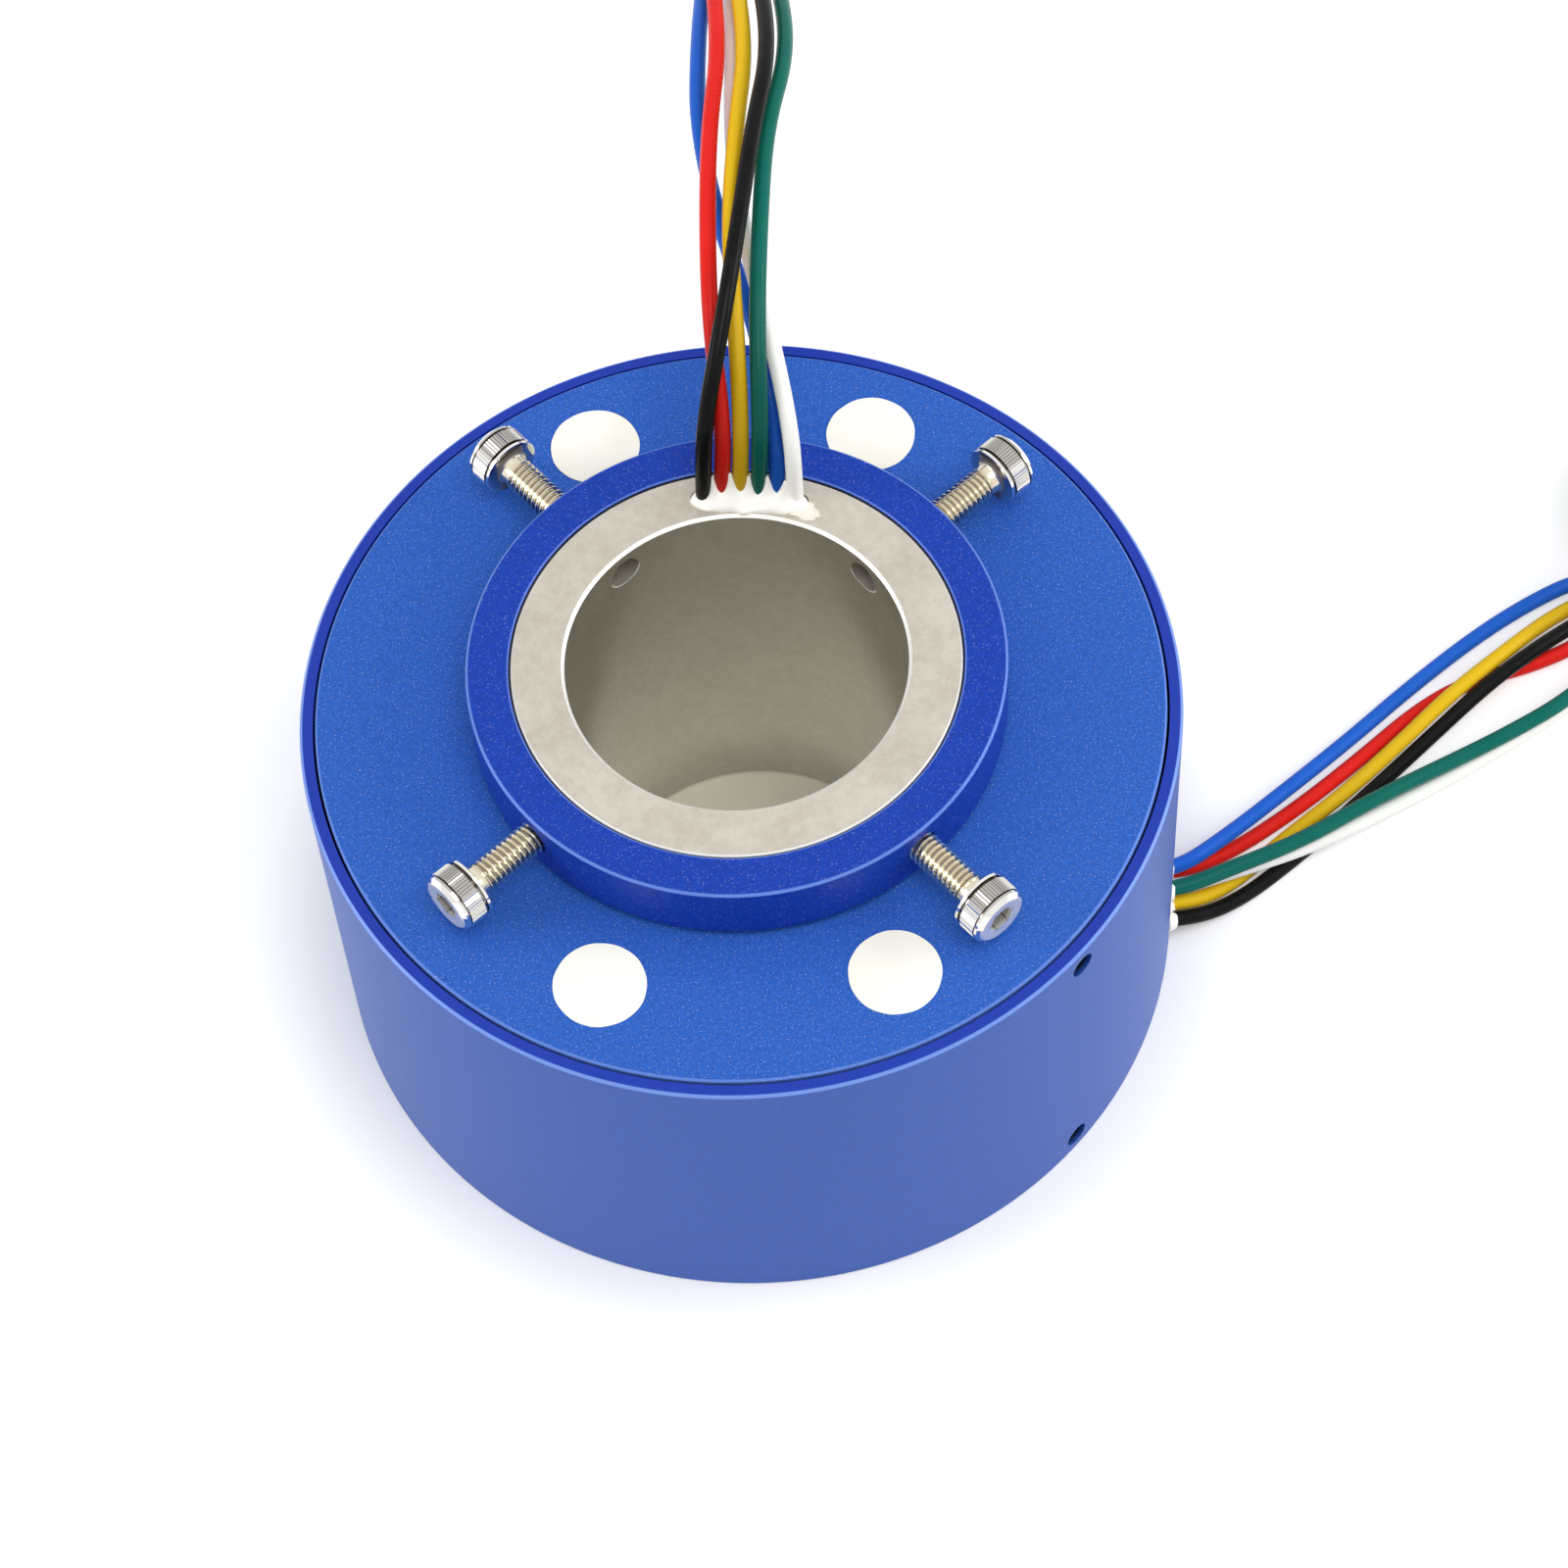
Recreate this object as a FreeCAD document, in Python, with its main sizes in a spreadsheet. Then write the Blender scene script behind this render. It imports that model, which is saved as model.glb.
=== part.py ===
"""Slip ring with a through bore and six circuits, in millimetres.

The housing stands still. The sleeve, its collar and the six contact rings turn in two thin ball
bearings. Two brush holders carry spring wires that run in the grooves of the rings. Six leads
leave the top of the sleeve and six leave the side of the housing. The origin is on the axis,
at the foot of the housing, with Z up.
"""
import FreeCAD, Part
import math
import os
import Sketcher

Vector = FreeCAD.Vector
UP = Vector(0, 0, 1)
ACROSS = Vector(0, 1, 0)

doc = FreeCAD.newDocument("SlipRing")
sheet = doc.addObject("Spreadsheet::Sheet", "Sizes")

SIZES = [
    # Housing shell
    ("shell_height", 47.6),
    ("brush_space", 13.8),
    ("shell_wall", 3.2),
    ("rim_wall", 1.5),
    ("edge_chamfer", 0.3),
    # End plates
    ("plate_gap", 0.3),
    ("plate_thickness", 7.0),
    ("plate_proud", 0.4),
    ("plate_recess", 0.3),
    ("eye_gap", 1.0),
    ("hub_wall", 2.5),
    ("hub_lip", 0.4),
    ("pocket_floor", 2.0),
    ("pocket_relief", 0.3),
    ("pocket_ledge", 1.9),
    # Thin ball bearings, 50 x 65 x 7
    ("bearing_section", 7.5),
    ("bearing_width", 7.0),
    ("race_gap", 2.88),
    ("ball_radius", 2.0),
    ("ball_clearance", 0.05),
    ("cage_wall", 1.5),
    ("cage_height", 5.2),
    ("fit_gap", 0.02),
    # Sleeve and collar
    ("bore_radius", 19.05),
    ("sleeve_wall", 5.95),
    ("sleeve_bottom", 0.7),
    ("sleeve_drop", 0.1),
    ("bore_chamfer", 0.35),
    ("collar_wall", 5.0),
    ("collar_height", 8.0),
    ("collar_gap", 0.7),
    ("spacer_wall", 2.2),
    ("snap_ring_width", 1.2),
    ("snap_ring_bite", 1.0),
    ("snap_ring_reach", 2.5),
    ("snap_ring_opening", 3.0),
    # Clamp screws through collar and sleeve
    ("clamp_angle", 37.6),
    ("clamp_rise", 4.5),
    ("clamp_tip_recess", 1.65),
    ("clamp_length", 18.0),
    ("clamp_thread_radius", 1.9),
    ("clamp_head_radius", 3.5),
    ("clamp_head_height", 3.8),
    ("clamp_socket", 3.0),
    ("clamp_socket_depth", 2.0),
    ("thread_gap", 0.05),
    # Contact rings and insulating barrel
    ("barrel_wall", 1.5),
    ("ring_rise", 6.0),
    ("ring_width", 3.0),
    ("ring_groove", 0.5),
    ("flange_rise", 1.0),
    ("barrel_end_gap", 0.8),
    # Lead slot in the sleeve
    ("slot_half_width", 1.1),
    ("slot_start_angle", 67.0),
    ("slot_end_angle", 1.0),
    ("lead_radius", 0.95),
    ("lead_gap", 0.2),
    ("root_depth", 4.6),
    ("tail_radius", 0.6),
    ("tail_seat", 0.5),
    ("sealant_crown", 0.9),
    ("sealant_spread", 0.7),
    # Plate screws, their stickers and the brush holders
    ("holder_angle", 87.0),
    ("post_half_angle", 24.3),
    ("post_gap", 0.58),
    ("post_radius", 3.2),
    ("holder_step", 2.2),
    ("holder_clearance", 0.5),
    ("holder_half_angle", 31.0),
    ("plate_screw_radius", 1.5),
    ("plate_screw_clearance", 0.1),
    ("plate_screw_length", 12.0),
    ("plate_screw_head_radius", 2.75),
    ("plate_screw_head_height", 3.0),
    ("plate_screw_socket", 2.5),
    ("counterbore_radius", 3.0),
    ("counterbore_depth", 3.1),
    ("sticker_radius", 5.2),
    ("sticker_thickness", 0.12),
    ("grub_angle", -45.7),
    ("grub_length", 5.0),
    ("grub_recess", 1.1),
    ("grub_inset", 3.1),
    ("grub_socket", 1.5),
    ("grub_bore_overrun", 0.6),
    # Brush boards and wires
    ("board_width", 19.2),
    ("board_thickness", 1.6),
    ("board_step", 0.4),
    ("board_gap", 1.2),
    ("board_recess", 6.0),
    ("wire_radius", 0.25),
    ("wire_offset", 6.0),
    ("wire_clearance", 0.1),
    ("wire_overrun", 3.0),
    ("wire_root", 0.6),
    # Side outlet for the fixed leads
    ("outlet_angle", -6.0),
    ("outlet_width", 9.4),
    ("outlet_low", 1.9),
    ("outlet_high", 6.9),
    ("outlet_depth", 9.5),
    ("outlet_seal_depth", 4.5),
    ("outlet_seal_recess", 0.1),
    # Coils of the spare lead
    ("coil_outer_radius", 14.6),
    ("coil_inner_radius", 8.4),
    ("rotor_coil_x", 17.6),
    ("rotor_coil_y", 168.0),
    ("rotor_coil_height", 12.0),
    ("stator_coil_reach", 71.5),
    ("stator_coil_y", 43.0),
    ("stator_coil_height", 16.2),
]
CIRCUITS = 6
BALLS = 10
CLAMP_SCREWS = 4

for row, (alias, value) in enumerate(SIZES, 1):
    sheet.set(f"A{row}", alias)
    sheet.set(f"B{row}", str(value))
    sheet.setAlias(f"B{row}", alias)
doc.recompute()


class Size:
    """A number together with the sheet expression that it comes from."""

    def __init__(self, value, text):
        self.value = value
        self.text = text

    def __add__(self, other):
        other = as_size(other)
        return Size(self.value + other.value, f"({self.text} + {other.text})")

    def __sub__(self, other):
        other = as_size(other)
        return Size(self.value - other.value, f"({self.text} - {other.text})")

    def __mul__(self, other):
        other = as_size(other)
        return Size(self.value * other.value, f"({self.text} * {other.text})")

    def __truediv__(self, other):
        other = as_size(other)
        return Size(self.value / other.value, f"({self.text} / {other.text})")

    def __neg__(self):
        return Size(-self.value, f"(0 - {self.text})")

    __radd__ = __add__
    __rmul__ = __mul__

    def __rsub__(self, other):
        return as_size(other) - self


def as_size(number):
    return number if isinstance(number, Size) else Size(number, f"({number!r})")


def cosine(angle):
    angle = as_size(angle)
    return Size(math.cos(math.radians(angle.value)), f"cos({angle.text})")


def sine(angle):
    angle = as_size(angle)
    return Size(math.sin(math.radians(angle.value)), f"sin({angle.text})")


def sized(alias):
    return Size(float(dict(SIZES)[alias]), f"Sizes.{alias}")


def at_angle(angle, along, across=0):
    """The x and y of a point that lies along a radial direction and across from it."""
    x = as_size(along) * cosine(angle) - as_size(across) * sine(angle)
    y = as_size(along) * sine(angle) + as_size(across) * cosine(angle)
    return x, y


def bind(item, **sizes):
    """Tie an object's properties to the sheet."""
    for name, size in sizes.items():
        item.setExpression(name, as_size(size).text)
    return item


def put(item, x=0, y=0, z=0, turn=0, lie=0):
    """Place an object: tipped about Y by lie, then turned about Z by turn."""
    lie_down = FreeCAD.Rotation(ACROSS, lie)
    item.Placement.Rotation = FreeCAD.Rotation(UP, as_size(turn).value) * lie_down
    for axis, size in zip("xyz", (x, y, z)):
        item.setExpression(f"Placement.Base.{axis}", as_size(size).text)
    return item


def cylinder(name, radius, length, **place):
    item = doc.addObject("Part::Cylinder", name)
    return put(bind(item, Radius=radius, Height=length), **place)


def sector(name, radius, length, span, **place):
    item = cylinder(name, radius, length, **place)
    return bind(item, Angle=span)


def block(name, length, width, height, **place):
    item = doc.addObject("Part::Box", name)
    return put(bind(item, Length=length, Width=width, Height=height), **place)


def hexagon(name, across_flats, length, **place):
    item = doc.addObject("Part::Prism", name)
    item.Polygon = 6
    return put(bind(item, Circumradius=as_size(across_flats) / (2 * sine(60)), Height=length), **place)


def joined(name, pieces):
    if len(pieces) == 1:
        return pieces[0]
    item = doc.addObject("Part::MultiFuse", name)
    item.Shapes = pieces
    return item


def less(name, base, tools):
    """The base with all the tools cut out of it."""
    item = doc.addObject("Part::Cut", name)
    item.Base = base
    item.Tool = joined(name + "_tools", tools)
    return item


def group(name, pieces):
    """Separate solids that share one node."""
    item = doc.addObject("Part::Compound", name)
    item.Links = pieces
    return item


def turned(name, outline):
    """A body turned about Z from its outline of (radius, height) corners."""
    body = doc.addObject("PartDesign::Body", name)
    sketch = body.newObject("Sketcher::SketchObject", name + "_outline")
    plane = [feature for feature in body.Origin.OriginFeatures if feature.Role == "XZ_Plane"][0]
    sketch.AttachmentSupport = (plane, [""])
    sketch.MapMode = "FlatFace"
    corners = [(as_size(radius), as_size(height)) for radius, height in outline]
    points = [Vector(radius.value, height.value, 0) for radius, height in corners]
    sketch.addGeometry([Part.LineSegment(a, b) for a, b in zip(points, points[1:] + points[:1])])
    for line in range(len(points)):
        following = (line + 1) % len(points)
        sketch.addConstraint(Sketcher.Constraint("Coincident", line, 2, following, 1))
    for line, corner in enumerate(corners):
        for kind, size in zip(("DistanceX", "DistanceY"), corner):
            made = sketch.addConstraint(Sketcher.Constraint(kind, -1, 1, line, 1, size.value))
            sketch.setExpression(f"Constraints[{made}]", size.text)
    turning = body.newObject("PartDesign::Revolution", name + "_turning")
    turning.Profile = sketch
    turning.ReferenceAxis = (sketch, ["V_Axis"])
    turning.Angle = 360
    body.Tip = turning
    return body


nodes = []


def node(item, label):
    """Name a finished piece and keep it for the export."""
    item.Label = label
    nodes.append(item)
    return item


# Radii from the bore outwards, and heights from the foot upwards
sleeve_radius = sized("bore_radius") + sized("sleeve_wall")
bearing_radius = sleeve_radius + sized("bearing_section")
collar_radius = sleeve_radius + sized("collar_wall")
ring_radius = sleeve_radius + sized("ring_rise")
flange_radius = ring_radius + sized("flange_rise")
inside_radius = bearing_radius + sized("brush_space")
shell_radius = inside_radius + sized("shell_wall")
seat_radius = shell_radius - sized("rim_wall")
plate_radius = seat_radius - sized("plate_gap")
top_face = sized("shell_height") + sized("plate_proud")
bottom_face = sized("plate_recess")
top_seat = top_face - sized("plate_thickness")
bottom_seat = bottom_face + sized("plate_thickness")
hub_depth = sized("pocket_floor") + sized("bearing_width") + sized("hub_lip")
pocket_radius = bearing_radius + sized("fit_gap")
bearing_bore = sleeve_radius + sized("fit_gap")
top_bearing = top_face - sized("pocket_floor") - sized("bearing_width")
bottom_bearing = bottom_face + sized("pocket_floor")
bearing_ring_wall = (bearing_radius - bearing_bore - sized("race_gap")) / 2
ball_pitch = (bearing_bore + bearing_radius) / 2
eye_radius = sleeve_radius + sized("snap_ring_reach") + sized("eye_gap")
collar_bottom = top_face + sized("collar_gap")
clamp_height = collar_bottom + sized("clamp_rise")
clamp_tip = sized("bore_radius") + sized("clamp_tip_recess")
sleeve_top = collar_bottom + sized("collar_height") - sized("sleeve_drop")
lead_root = sleeve_top - sized("root_depth")
slot_pitch = (sized("bore_radius") + sleeve_radius) / 2
lead_step = (2 * sized("lead_radius") + sized("lead_gap")) / slot_pitch * math.degrees(1)
slot_span = 2 * sized("slot_end_angle") + (CIRCUITS - 1) * lead_step
barrel_bottom = bottom_bearing + sized("bearing_width")
barrel_top = top_bearing
barrel_length = barrel_top - barrel_bottom - 2 * sized("barrel_end_gap")
flange_width = (barrel_length - CIRCUITS * sized("ring_width")) / (CIRCUITS + 1)
ring_seat = bearing_bore + sized("barrel_wall")
holder_radius = inside_radius - sized("holder_clearance")
post_pitch = pocket_radius + sized("hub_wall") + sized("post_gap") + sized("post_radius")
holder_inside = post_pitch + sized("holder_step")
board_face = holder_inside + sized("board_step")
outlet_start = shell_radius - sized("outlet_depth")
outlet_seal_start = shell_radius - sized("outlet_seal_depth")
post_angles = [
    centre + side * sized("post_half_angle")
    for centre in (sized("holder_angle"), sized("holder_angle") - 180)
    for side in (-1, 1)
]
grub_angles = [sized("grub_angle"), sized("grub_angle") + 180]


def ring_bottom(index):
    """The height at which a contact ring starts."""
    first = barrel_bottom + sized("barrel_end_gap") + flange_width
    return first + index * (sized("ring_width") + flange_width)


def outlet_box(name, start, end, low, high, width):
    x, y = at_angle(sized("outlet_angle"), start, -width / 2)
    return block(name, end - start, width, high - low, x=x, y=y, z=low, turn=sized("outlet_angle"))


def grub_bores(name, height):
    """Radial threaded holes for the set screws of one plate."""
    bores = []
    reach = sized("grub_bore_overrun")
    for index, angle in enumerate(grub_angles):
        start = shell_radius - sized("grub_recess") - sized("grub_length") - reach
        x, y = at_angle(angle, start)
        radius = sized("plate_screw_radius") + sized("thread_gap")
        length = sized("grub_length") + sized("grub_recess") + 2 * reach
        bores.append(cylinder(f"{name}_{index}", radius, length, x=x, y=y, z=height, turn=angle, lie=90))
    return bores


def housing_shell():
    radius = shell_radius
    height = sized("shell_height")
    chamfer = sized("edge_chamfer")
    tube = turned("shell_tube", [
        (inside_radius, bottom_seat),
        (seat_radius, bottom_seat),
        (seat_radius, 0),
        (radius - chamfer, 0),
        (radius, chamfer),
        (radius, height - chamfer),
        (radius - chamfer, height),
        (seat_radius, height),
        (seat_radius, top_seat),
        (inside_radius, top_seat),
    ])
    low = sized("outlet_low")
    high = sized("outlet_high")
    outlet = outlet_box("shell_outlet", inside_radius, radius + 1, low, high, sized("outlet_width"))
    bores = grub_bores("shell_top_bore", height - sized("grub_inset"))
    bores += grub_bores("shell_bottom_bore", sized("grub_inset"))
    node(less("shell_cut", tube, [outlet] + bores), "housing_shell")


def end_plate(label, face, inward, height):
    """A plate let into one end of the shell. Inward is 1 or -1, up or down from its outer face."""
    def level(depth):
        return face + inward * as_size(depth)

    chamfer = sized("edge_chamfer")
    thickness = sized("plate_thickness")
    floor = sized("pocket_floor")
    ledge = pocket_radius - sized("pocket_ledge")
    disc = turned(label + "_disc", [
        (eye_radius, level(chamfer)),
        (eye_radius + chamfer, level(0)),
        (plate_radius - chamfer, level(0)),
        (plate_radius, level(chamfer)),
        (plate_radius, level(thickness)),
        (pocket_radius + sized("hub_wall"), level(thickness)),
        (pocket_radius + sized("hub_wall"), level(hub_depth)),
        (pocket_radius, level(hub_depth)),
        (pocket_radius, level(floor)),
        (ledge, level(floor)),
        (ledge, level(floor - sized("pocket_relief"))),
        (eye_radius, level(floor - sized("pocket_relief"))),
    ])
    cuts = []
    hole = sized("plate_screw_radius") + sized("plate_screw_clearance")
    for index, angle in enumerate(post_angles):
        x, y = at_angle(angle, post_pitch)
        lowest = level(0) if inward > 0 else level(sized("counterbore_depth"))
        lowest_hole = level(0) if inward > 0 else level(thickness)
        cuts.append(cylinder(f"{label}_counterbore_{index}", sized("counterbore_radius"),
                             sized("counterbore_depth"), x=x, y=y, z=lowest))
        cuts.append(cylinder(f"{label}_screw_hole_{index}", hole, thickness, x=x, y=y, z=lowest_hole))
    cuts += grub_bores(label + "_bore", height)
    if inward > 0:
        low = sized("outlet_low")
        high = sized("outlet_high")
        width = sized("outlet_width")
        above = level(thickness) + 1
        cuts.append(outlet_box(label + "_outlet", outlet_start, seat_radius + 1, low, high, width))
        cuts.append(outlet_box(label + "_rise", outlet_start, outlet_seal_start, low, above, width))
    node(less(label + "_cut", disc, cuts), label)


def bearing(side, bottom):
    """A thin ball bearing that stands on the given height."""
    width = sized("bearing_width")
    top = bottom + width
    inner = bearing_bore + bearing_ring_wall
    outer = bearing_radius - bearing_ring_wall
    outer_blank = turned(side + "_outer_blank", [
        (outer, bottom),
        (bearing_radius, bottom),
        (bearing_radius, top),
        (outer, top),
    ])
    inner_blank = turned(side + "_inner_blank", [
        (bearing_bore, bottom),
        (inner, bottom),
        (inner, top),
        (bearing_bore, top),
    ])
    for place, blank in (("outer", outer_blank), ("inner", inner_blank)):
        race = doc.addObject("Part::Torus", f"{side}_{place}_race")
        bind(race, Radius1=ball_pitch, Radius2=sized("ball_radius") + sized("ball_clearance"))
        put(race, z=bottom + width / 2)
        node(less(f"{side}_{place}_ring", blank, [race]), f"{side}_bearing_{place}_ring")
    cage_low = bottom + (width - sized("cage_height")) / 2
    cage_high = cage_low + sized("cage_height")
    cage = turned(side + "_cage_blank", [
        (ball_pitch - sized("cage_wall") / 2, cage_low),
        (ball_pitch + sized("cage_wall") / 2, cage_low),
        (ball_pitch + sized("cage_wall") / 2, cage_high),
        (ball_pitch - sized("cage_wall") / 2, cage_high),
    ])
    balls = []
    pockets = []
    for index in range(BALLS):
        angle = as_size(360 * index / BALLS)
        x, y = at_angle(angle, ball_pitch)
        ball = doc.addObject("Part::Sphere", f"{side}_ball_{index}")
        balls.append(put(bind(ball, Radius=sized("ball_radius")), x=x, y=y, z=bottom + width / 2))
        x, y = at_angle(angle, ball_pitch - sized("cage_wall"))
        pocket = sized("ball_radius") + 2 * sized("ball_clearance")
        pockets.append(cylinder(f"{side}_pocket_{index}", pocket, 2 * sized("cage_wall"),
                                x=x, y=y, z=bottom + width / 2, turn=angle, lie=90))
    node(group(side + "_balls", balls), f"{side}_bearing_balls")
    node(less(side + "_cage", cage, pockets), f"{side}_bearing_cage")


def clamp_bores(name, start, end):
    """Threaded holes for the clamp screws, between two radii."""
    bores = []
    for index in range(CLAMP_SCREWS):
        angle = sized("clamp_angle") + 360 * index / CLAMP_SCREWS
        x, y = at_angle(angle, start)
        radius = sized("clamp_thread_radius") + sized("thread_gap")
        bores.append(cylinder(f"{name}_{index}", radius, end - start,
                              x=x, y=y, z=clamp_height, turn=angle, lie=90))
    return bores


def kidney(name, low, high, grow=0):
    """The shape of the lead slot between two heights, grown on all sides."""
    half = sized("slot_half_width") + grow
    start = sized("slot_start_angle")
    outside = sector(name + "_outside", slot_pitch + half, high - low, slot_span, z=low, turn=start)
    inside = cylinder(name + "_inside", slot_pitch - half, high - low, z=low)
    ends = []
    for index, angle in enumerate((start, start + slot_span)):
        x, y = at_angle(angle, slot_pitch)
        ends.append(cylinder(f"{name}_end_{index}", half, high - low, x=x, y=y, z=low))
    return joined(name, [less(name + "_sector", outside, [inside])] + ends)


def lead_angle(index):
    return sized("slot_start_angle") + sized("slot_end_angle") + index * lead_step


def tail_bores(name, index, start, end):
    angle = lead_angle(index)
    x, y = at_angle(angle, start)
    height = ring_bottom(index) + sized("ring_width") / 2
    radius = sized("tail_radius") + sized("thread_gap")
    return cylinder(f"{name}_{index}", radius, end - start, x=x, y=y, z=height, turn=angle, lie=90)


def rotor_sleeve():
    radius = sleeve_radius
    bottom = sized("sleeve_bottom")
    top = sleeve_top
    chamfer = sized("bore_chamfer")
    groove_top = bottom_bearing
    groove_bottom = bottom_bearing - sized("snap_ring_width")
    groove_radius = radius - sized("snap_ring_bite")
    tube = turned("sleeve_tube", [
        (sized("bore_radius"), bottom + chamfer),
        (sized("bore_radius") + chamfer, bottom),
        (radius - chamfer / 2, bottom),
        (radius, bottom + chamfer / 2),
        (radius, groove_bottom),
        (groove_radius, groove_bottom),
        (groove_radius, groove_top),
        (radius, groove_top),
        (radius, top - chamfer / 2),
        (radius - chamfer / 2, top),
        (sized("bore_radius") + chamfer, top),
        (sized("bore_radius"), top - chamfer),
    ])
    slot_floor = ring_bottom(0)
    cuts = [kidney("lead_slot", slot_floor, top + 1)]
    cuts += clamp_bores("sleeve_clamp_bore", sized("bore_radius") - 1, radius + 1)
    for index in range(CIRCUITS):
        cuts.append(tail_bores("sleeve_tail_bore", index, slot_pitch, radius + 1))
    node(less("sleeve_cut", tube, cuts), "rotor_sleeve")


def locking_collar():
    bore = sleeve_radius + sized("thread_gap")
    radius = collar_radius
    top = collar_bottom + sized("collar_height")
    chamfer = sized("edge_chamfer")
    ring = turned("collar_ring", [
        (bore, collar_bottom),
        (radius - chamfer, collar_bottom),
        (radius, collar_bottom + chamfer),
        (radius, top - chamfer),
        (radius - chamfer, top),
        (bore, top),
    ])
    node(less("collar_cut", ring, clamp_bores("collar_bore", bore - 1, radius + 1)), "locking_collar")


def clamp_screws():
    """Socket screws with a rolled head: a flange at the bearing face, a narrow groove, a body."""
    seat = clamp_tip + sized("clamp_length")
    flange = 0.5
    groove = 0.3
    radius = sized("clamp_head_radius")
    body = sized("clamp_head_height") - flange - groove
    screws = []
    for index in range(CLAMP_SCREWS):
        angle = sized("clamp_angle") + 360 * index / CLAMP_SCREWS
        steps = [
            (clamp_tip, sized("clamp_length"), sized("clamp_thread_radius")),
            (seat, as_size(flange), radius),
            (seat + flange, as_size(groove), radius - groove),
            (seat + flange + groove, body, radius),
        ]
        pieces = []
        for step, (start, length, step_radius) in enumerate(steps):
            x, y = at_angle(angle, start)
            pieces.append(cylinder(f"clamp_{index}_{step}", step_radius, length,
                                   x=x, y=y, z=clamp_height, turn=angle, lie=90))
        x, y = at_angle(angle, seat + sized("clamp_head_height") - sized("clamp_socket_depth"))
        socket = hexagon(f"clamp_socket_{index}", sized("clamp_socket"), sized("clamp_socket_depth") + 1,
                         x=x, y=y, z=clamp_height, turn=angle, lie=90)
        screws.append(less(f"clamp_screw_{index}", joined(f"clamp_body_{index}", pieces), [socket]))
    node(group("clamp_screw_set", screws), "clamp_screws")


def spacer_and_snap_ring():
    outer = bearing_bore + sized("spacer_wall")
    spacer_bottom = top_bearing + sized("bearing_width")
    node(turned("spacer", [
        (bearing_bore, spacer_bottom),
        (outer, spacer_bottom),
        (outer, collar_bottom),
        (bearing_bore, collar_bottom),
    ]), "bearing_spacer")
    inner = sleeve_radius - sized("snap_ring_bite") + sized("fit_gap")
    outer = sleeve_radius + sized("snap_ring_reach")
    low = bottom_bearing - sized("snap_ring_width") + sized("fit_gap")
    ring = turned("snap_ring_blank", [
        (inner, low),
        (outer, low),
        (outer, bottom_bearing),
        (inner, bottom_bearing),
    ])
    opening = sized("snap_ring_opening")
    x, y = at_angle(sized("slot_start_angle"), inner - 1, -opening / 2)
    gap = block("snap_ring_gap", outer - inner + 2, opening, sized("snap_ring_width") + 1,
                x=x, y=y, z=low - 0.5, turn=sized("slot_start_angle"))
    node(less("snap_ring_cut", ring, [gap]), "snap_ring")


def contact_barrel():
    """The insulating barrel with a flange on each side of every contact ring."""
    outline = [(bearing_bore, barrel_bottom), (ring_seat, barrel_bottom)]
    rim = flange_radius
    for index in range(CIRCUITS + 1):
        low = ring_bottom(index) - flange_width
        high = ring_bottom(index)
        outline += [(ring_seat, low), (rim, low), (rim, high), (ring_seat, high)]
    outline += [(ring_seat, barrel_top), (bearing_bore, barrel_top)]
    barrel = turned("barrel", outline)
    bores = [
        tail_bores("barrel_tail_bore", index, bearing_bore - 1, ring_seat + 1)
        for index in range(CIRCUITS)
    ]
    node(less("barrel_cut", barrel, bores), "insulating_barrel")


def contact_rings():
    for index in range(CIRCUITS):
        low = ring_bottom(index)
        high = low + sized("ring_width")
        middle = low + sized("ring_width") / 2
        groove = sized("ring_groove")
        radius = ring_radius
        ring = turned(f"ring_blank_{index + 1}", [
            (ring_seat, low),
            (radius, low),
            (radius, middle - groove),
            (radius - groove, middle),
            (radius, middle + groove),
            (radius, high),
            (ring_seat, high),
        ])
        socket = tail_bores("ring_socket", index, ring_seat - 1, ring_seat + sized("tail_seat"))
        node(less(f"ring_cut_{index + 1}", ring, [socket]), f"contact_ring_{index + 1}")


def rotor_wire_tails():
    """Each tail leads from its contact ring into the slot and up to the root of its lead."""
    reach = ring_seat + sized("tail_seat") - slot_pitch
    tails = []
    for index in range(CIRCUITS):
        angle = lead_angle(index)
        height = ring_bottom(index) + sized("ring_width") / 2
        x, y = at_angle(angle, slot_pitch)
        rise = cylinder(f"tail_rise_{index}", sized("lead_radius"), lead_root - height, x=x, y=y, z=height)
        foot = cylinder(f"tail_foot_{index}", sized("tail_radius"), reach,
                        x=x, y=y, z=height, turn=angle, lie=90)
        tails.append(joined(f"tail_{index}", [rise, foot]))
    node(group("tails", tails), "rotor_wire_tails")


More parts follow.
